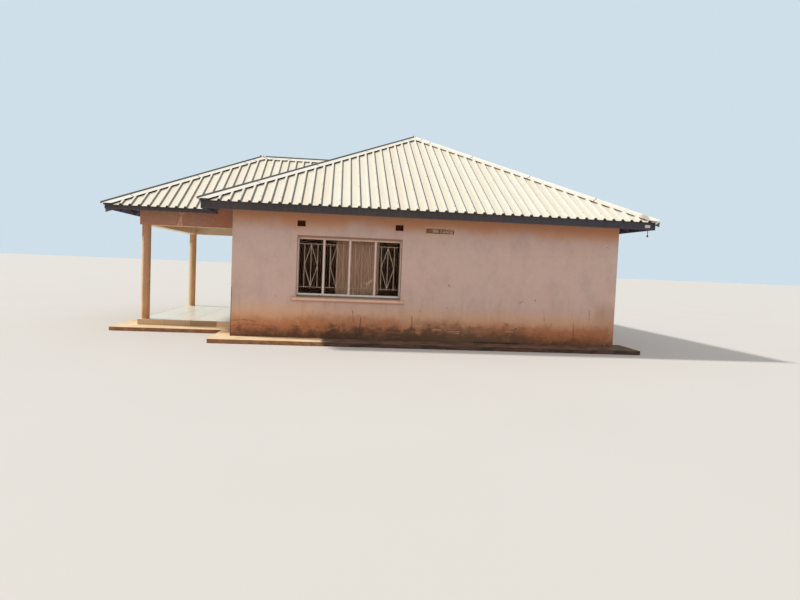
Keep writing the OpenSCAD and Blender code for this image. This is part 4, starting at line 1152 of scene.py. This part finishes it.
# %% Handle on its plate
leaf_low, leaf_high = (np.array(c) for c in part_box("door_leaf"))
out, handle_y, handle_z = leaf_low[0], leaf_low[1] + 0.055, leaf_low[2] + 1.02
brass = speckled("worn_brass", 45.0, 5.0, 0.65, ((190, 150, 92), (120, 88, 54)), 0.32, 0.0003,
                 Metallic=1.0)
plate_shape = copies(CUBE, CUBE_FACES, [np.diag([0.008, 0.042, 0.22])],
                     [(out - 0.004, handle_y, handle_z - 0.02)])
rounded(new_piece("door_handle_plate", *plate_shape, "door_steel", brass))

lever_path = np.array([(out, handle_y, handle_z), (out - 0.030, handle_y, handle_z),
                       (out - 0.042, handle_y + 0.004, handle_z),
                       (out - 0.046, handle_y + 0.016, handle_z),
                       (out - 0.046, handle_y + 0.110, handle_z - 0.004)])
lever_radius = 0.008
# ring k lies in the plane square to the path's mean direction there
direction = np.gradient(lever_path, axis=0)
direction /= np.linalg.norm(direction, axis=1, keepdims=True)
sideways = np.cross(direction, (0.0, 0.0, 1.0))
sideways /= np.linalg.norm(sideways, axis=1, keepdims=True)
lifted = np.cross(sideways, direction)
rings = (lever_path[:, None] + lever_radius * (np.cos(turn)[None, :, None] * sideways[:, None]
                                               + np.sin(turn)[None, :, None] * lifted[:, None]))
lever_end = len(lever_path) * around
lever_faces = tube_faces(len(lever_path), around)
lever_faces += [range(around), range(lever_end - 1, lever_end - around - 1, -1)]
new_piece("door_lever", rings.reshape(-1, 3), lever_faces, "door_steel", brass, smooth=True)

# %% [markdown]
# ## Floor, light and camera
# The house stands on a plain pale floor before a pale blue backdrop, in even white light
# from all sides. One lamp from the upper left models the ribs, and a weak broad one opens
# the shaded front. The camera stands where the picture was taken: in front of the left part
# of the house, at eye height, looking slightly right and down.

# %% Pale floor
reach = 400.0
floor_mesh = bpy.data.meshes.new("studio_floor")
floor_mesh.from_pydata([(-reach, -reach, 0), (reach, -reach, 0), (reach, reach, 0),
                        (-reach, reach, 0)], [], [(0, 1, 2, 3)])
studio_floor = bpy.data.objects.new("studio_floor", floor_mesh)
bpy.context.scene.collection.objects.link(studio_floor)
floor_finish, w, place = open_finish("pale_floor")
soft_tone = w.noise(place, 0.3, 2.0, 0.5)
close_finish(w, w.mix(soft_tone, (0.74, 0.71, 0.67, 1.0), (0.78, 0.75, 0.71, 1.0)), 0.9)
floor_mesh.materials.append(floor_finish)
studio_floor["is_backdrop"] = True

# %% Sky and lamps
scene = bpy.context.scene
world = bpy.data.worlds.new("studio_sky")
world.use_nodes = True
scene.world = world
w = Wiring(world.node_tree)
w.tree.nodes.clear()
path = w.node("LightPath").outputs
seen = w.math("ADD", w.plus(path["Is Camera Ray"], path["Is Glossy Ray"]),
              path["Is Transmission Ray"], clamp=True)
lighting = w.node("Background", {"Color": (0.97, 0.98, 1.0, 1.0), "Strength": 0.45}).outputs[0]
backdrop = w.node("Background", {"Color": (0.62, 0.74, 0.82, 1.0), "Strength": 1.0}).outputs[0]
w.node("OutputWorld", [w.node("MixShader", [seen, lighting, backdrop]).outputs[0]])

for name, towards, energy, angle, warmth in (
        ("broad_lamp", (-0.70, 0.13, 0.70), 2.4, 4.0, (1.0, 0.965, 0.90)),
        ("front_fill", (0.25, -0.95, 0.18), 0.85, 80.0, (1.0, 0.97, 0.95))):
    lamp = bpy.data.lights.new(name, "SUN")
    lamp.energy, lamp.angle, lamp.color = energy, math.radians(angle), warmth
    lamp_object = bpy.data.objects.new(name, lamp)
    lamp_object.rotation_mode = "QUATERNION"
    lamp_object.rotation_quaternion = Vector(towards).to_track_quat("Z", "Y")
    scene.collection.objects.link(lamp_object)

# %% Camera
yaw, down, roll = (math.radians(v) for v in (5.724, 3.071, 2.379))
ahead = Vector((math.sin(yaw) * math.cos(down), math.cos(yaw) * math.cos(down), -math.sin(down)))
level = Vector((math.cos(yaw), -math.sin(yaw), 0.0))
over = level.cross(ahead)
right = level * math.cos(roll) + over * math.sin(roll)
top = over * math.cos(roll) - level * math.sin(roll)
focal_pixels, picture_pixels, sensor = 616.37, 800, 36.0
lens = bpy.data.cameras.new("eye_level")
lens.sensor_width = sensor
lens.lens = focal_pixels / picture_pixels * sensor
lens.clip_end = 2000.0
camera = bpy.data.objects.new("eye_level", lens)
scene.collection.objects.link(camera)
camera.matrix_world = Matrix.Translation(Vector(spot(2.256, -13.26, 1.691))) @ Matrix(
    (right, top, -ahead)).transposed().to_4x4()
scene.camera = camera
scene.view_settings.view_transform = "Standard"

# %% Sizes for the record
low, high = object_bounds()
print("visual box", tuple(low), tuple(high))
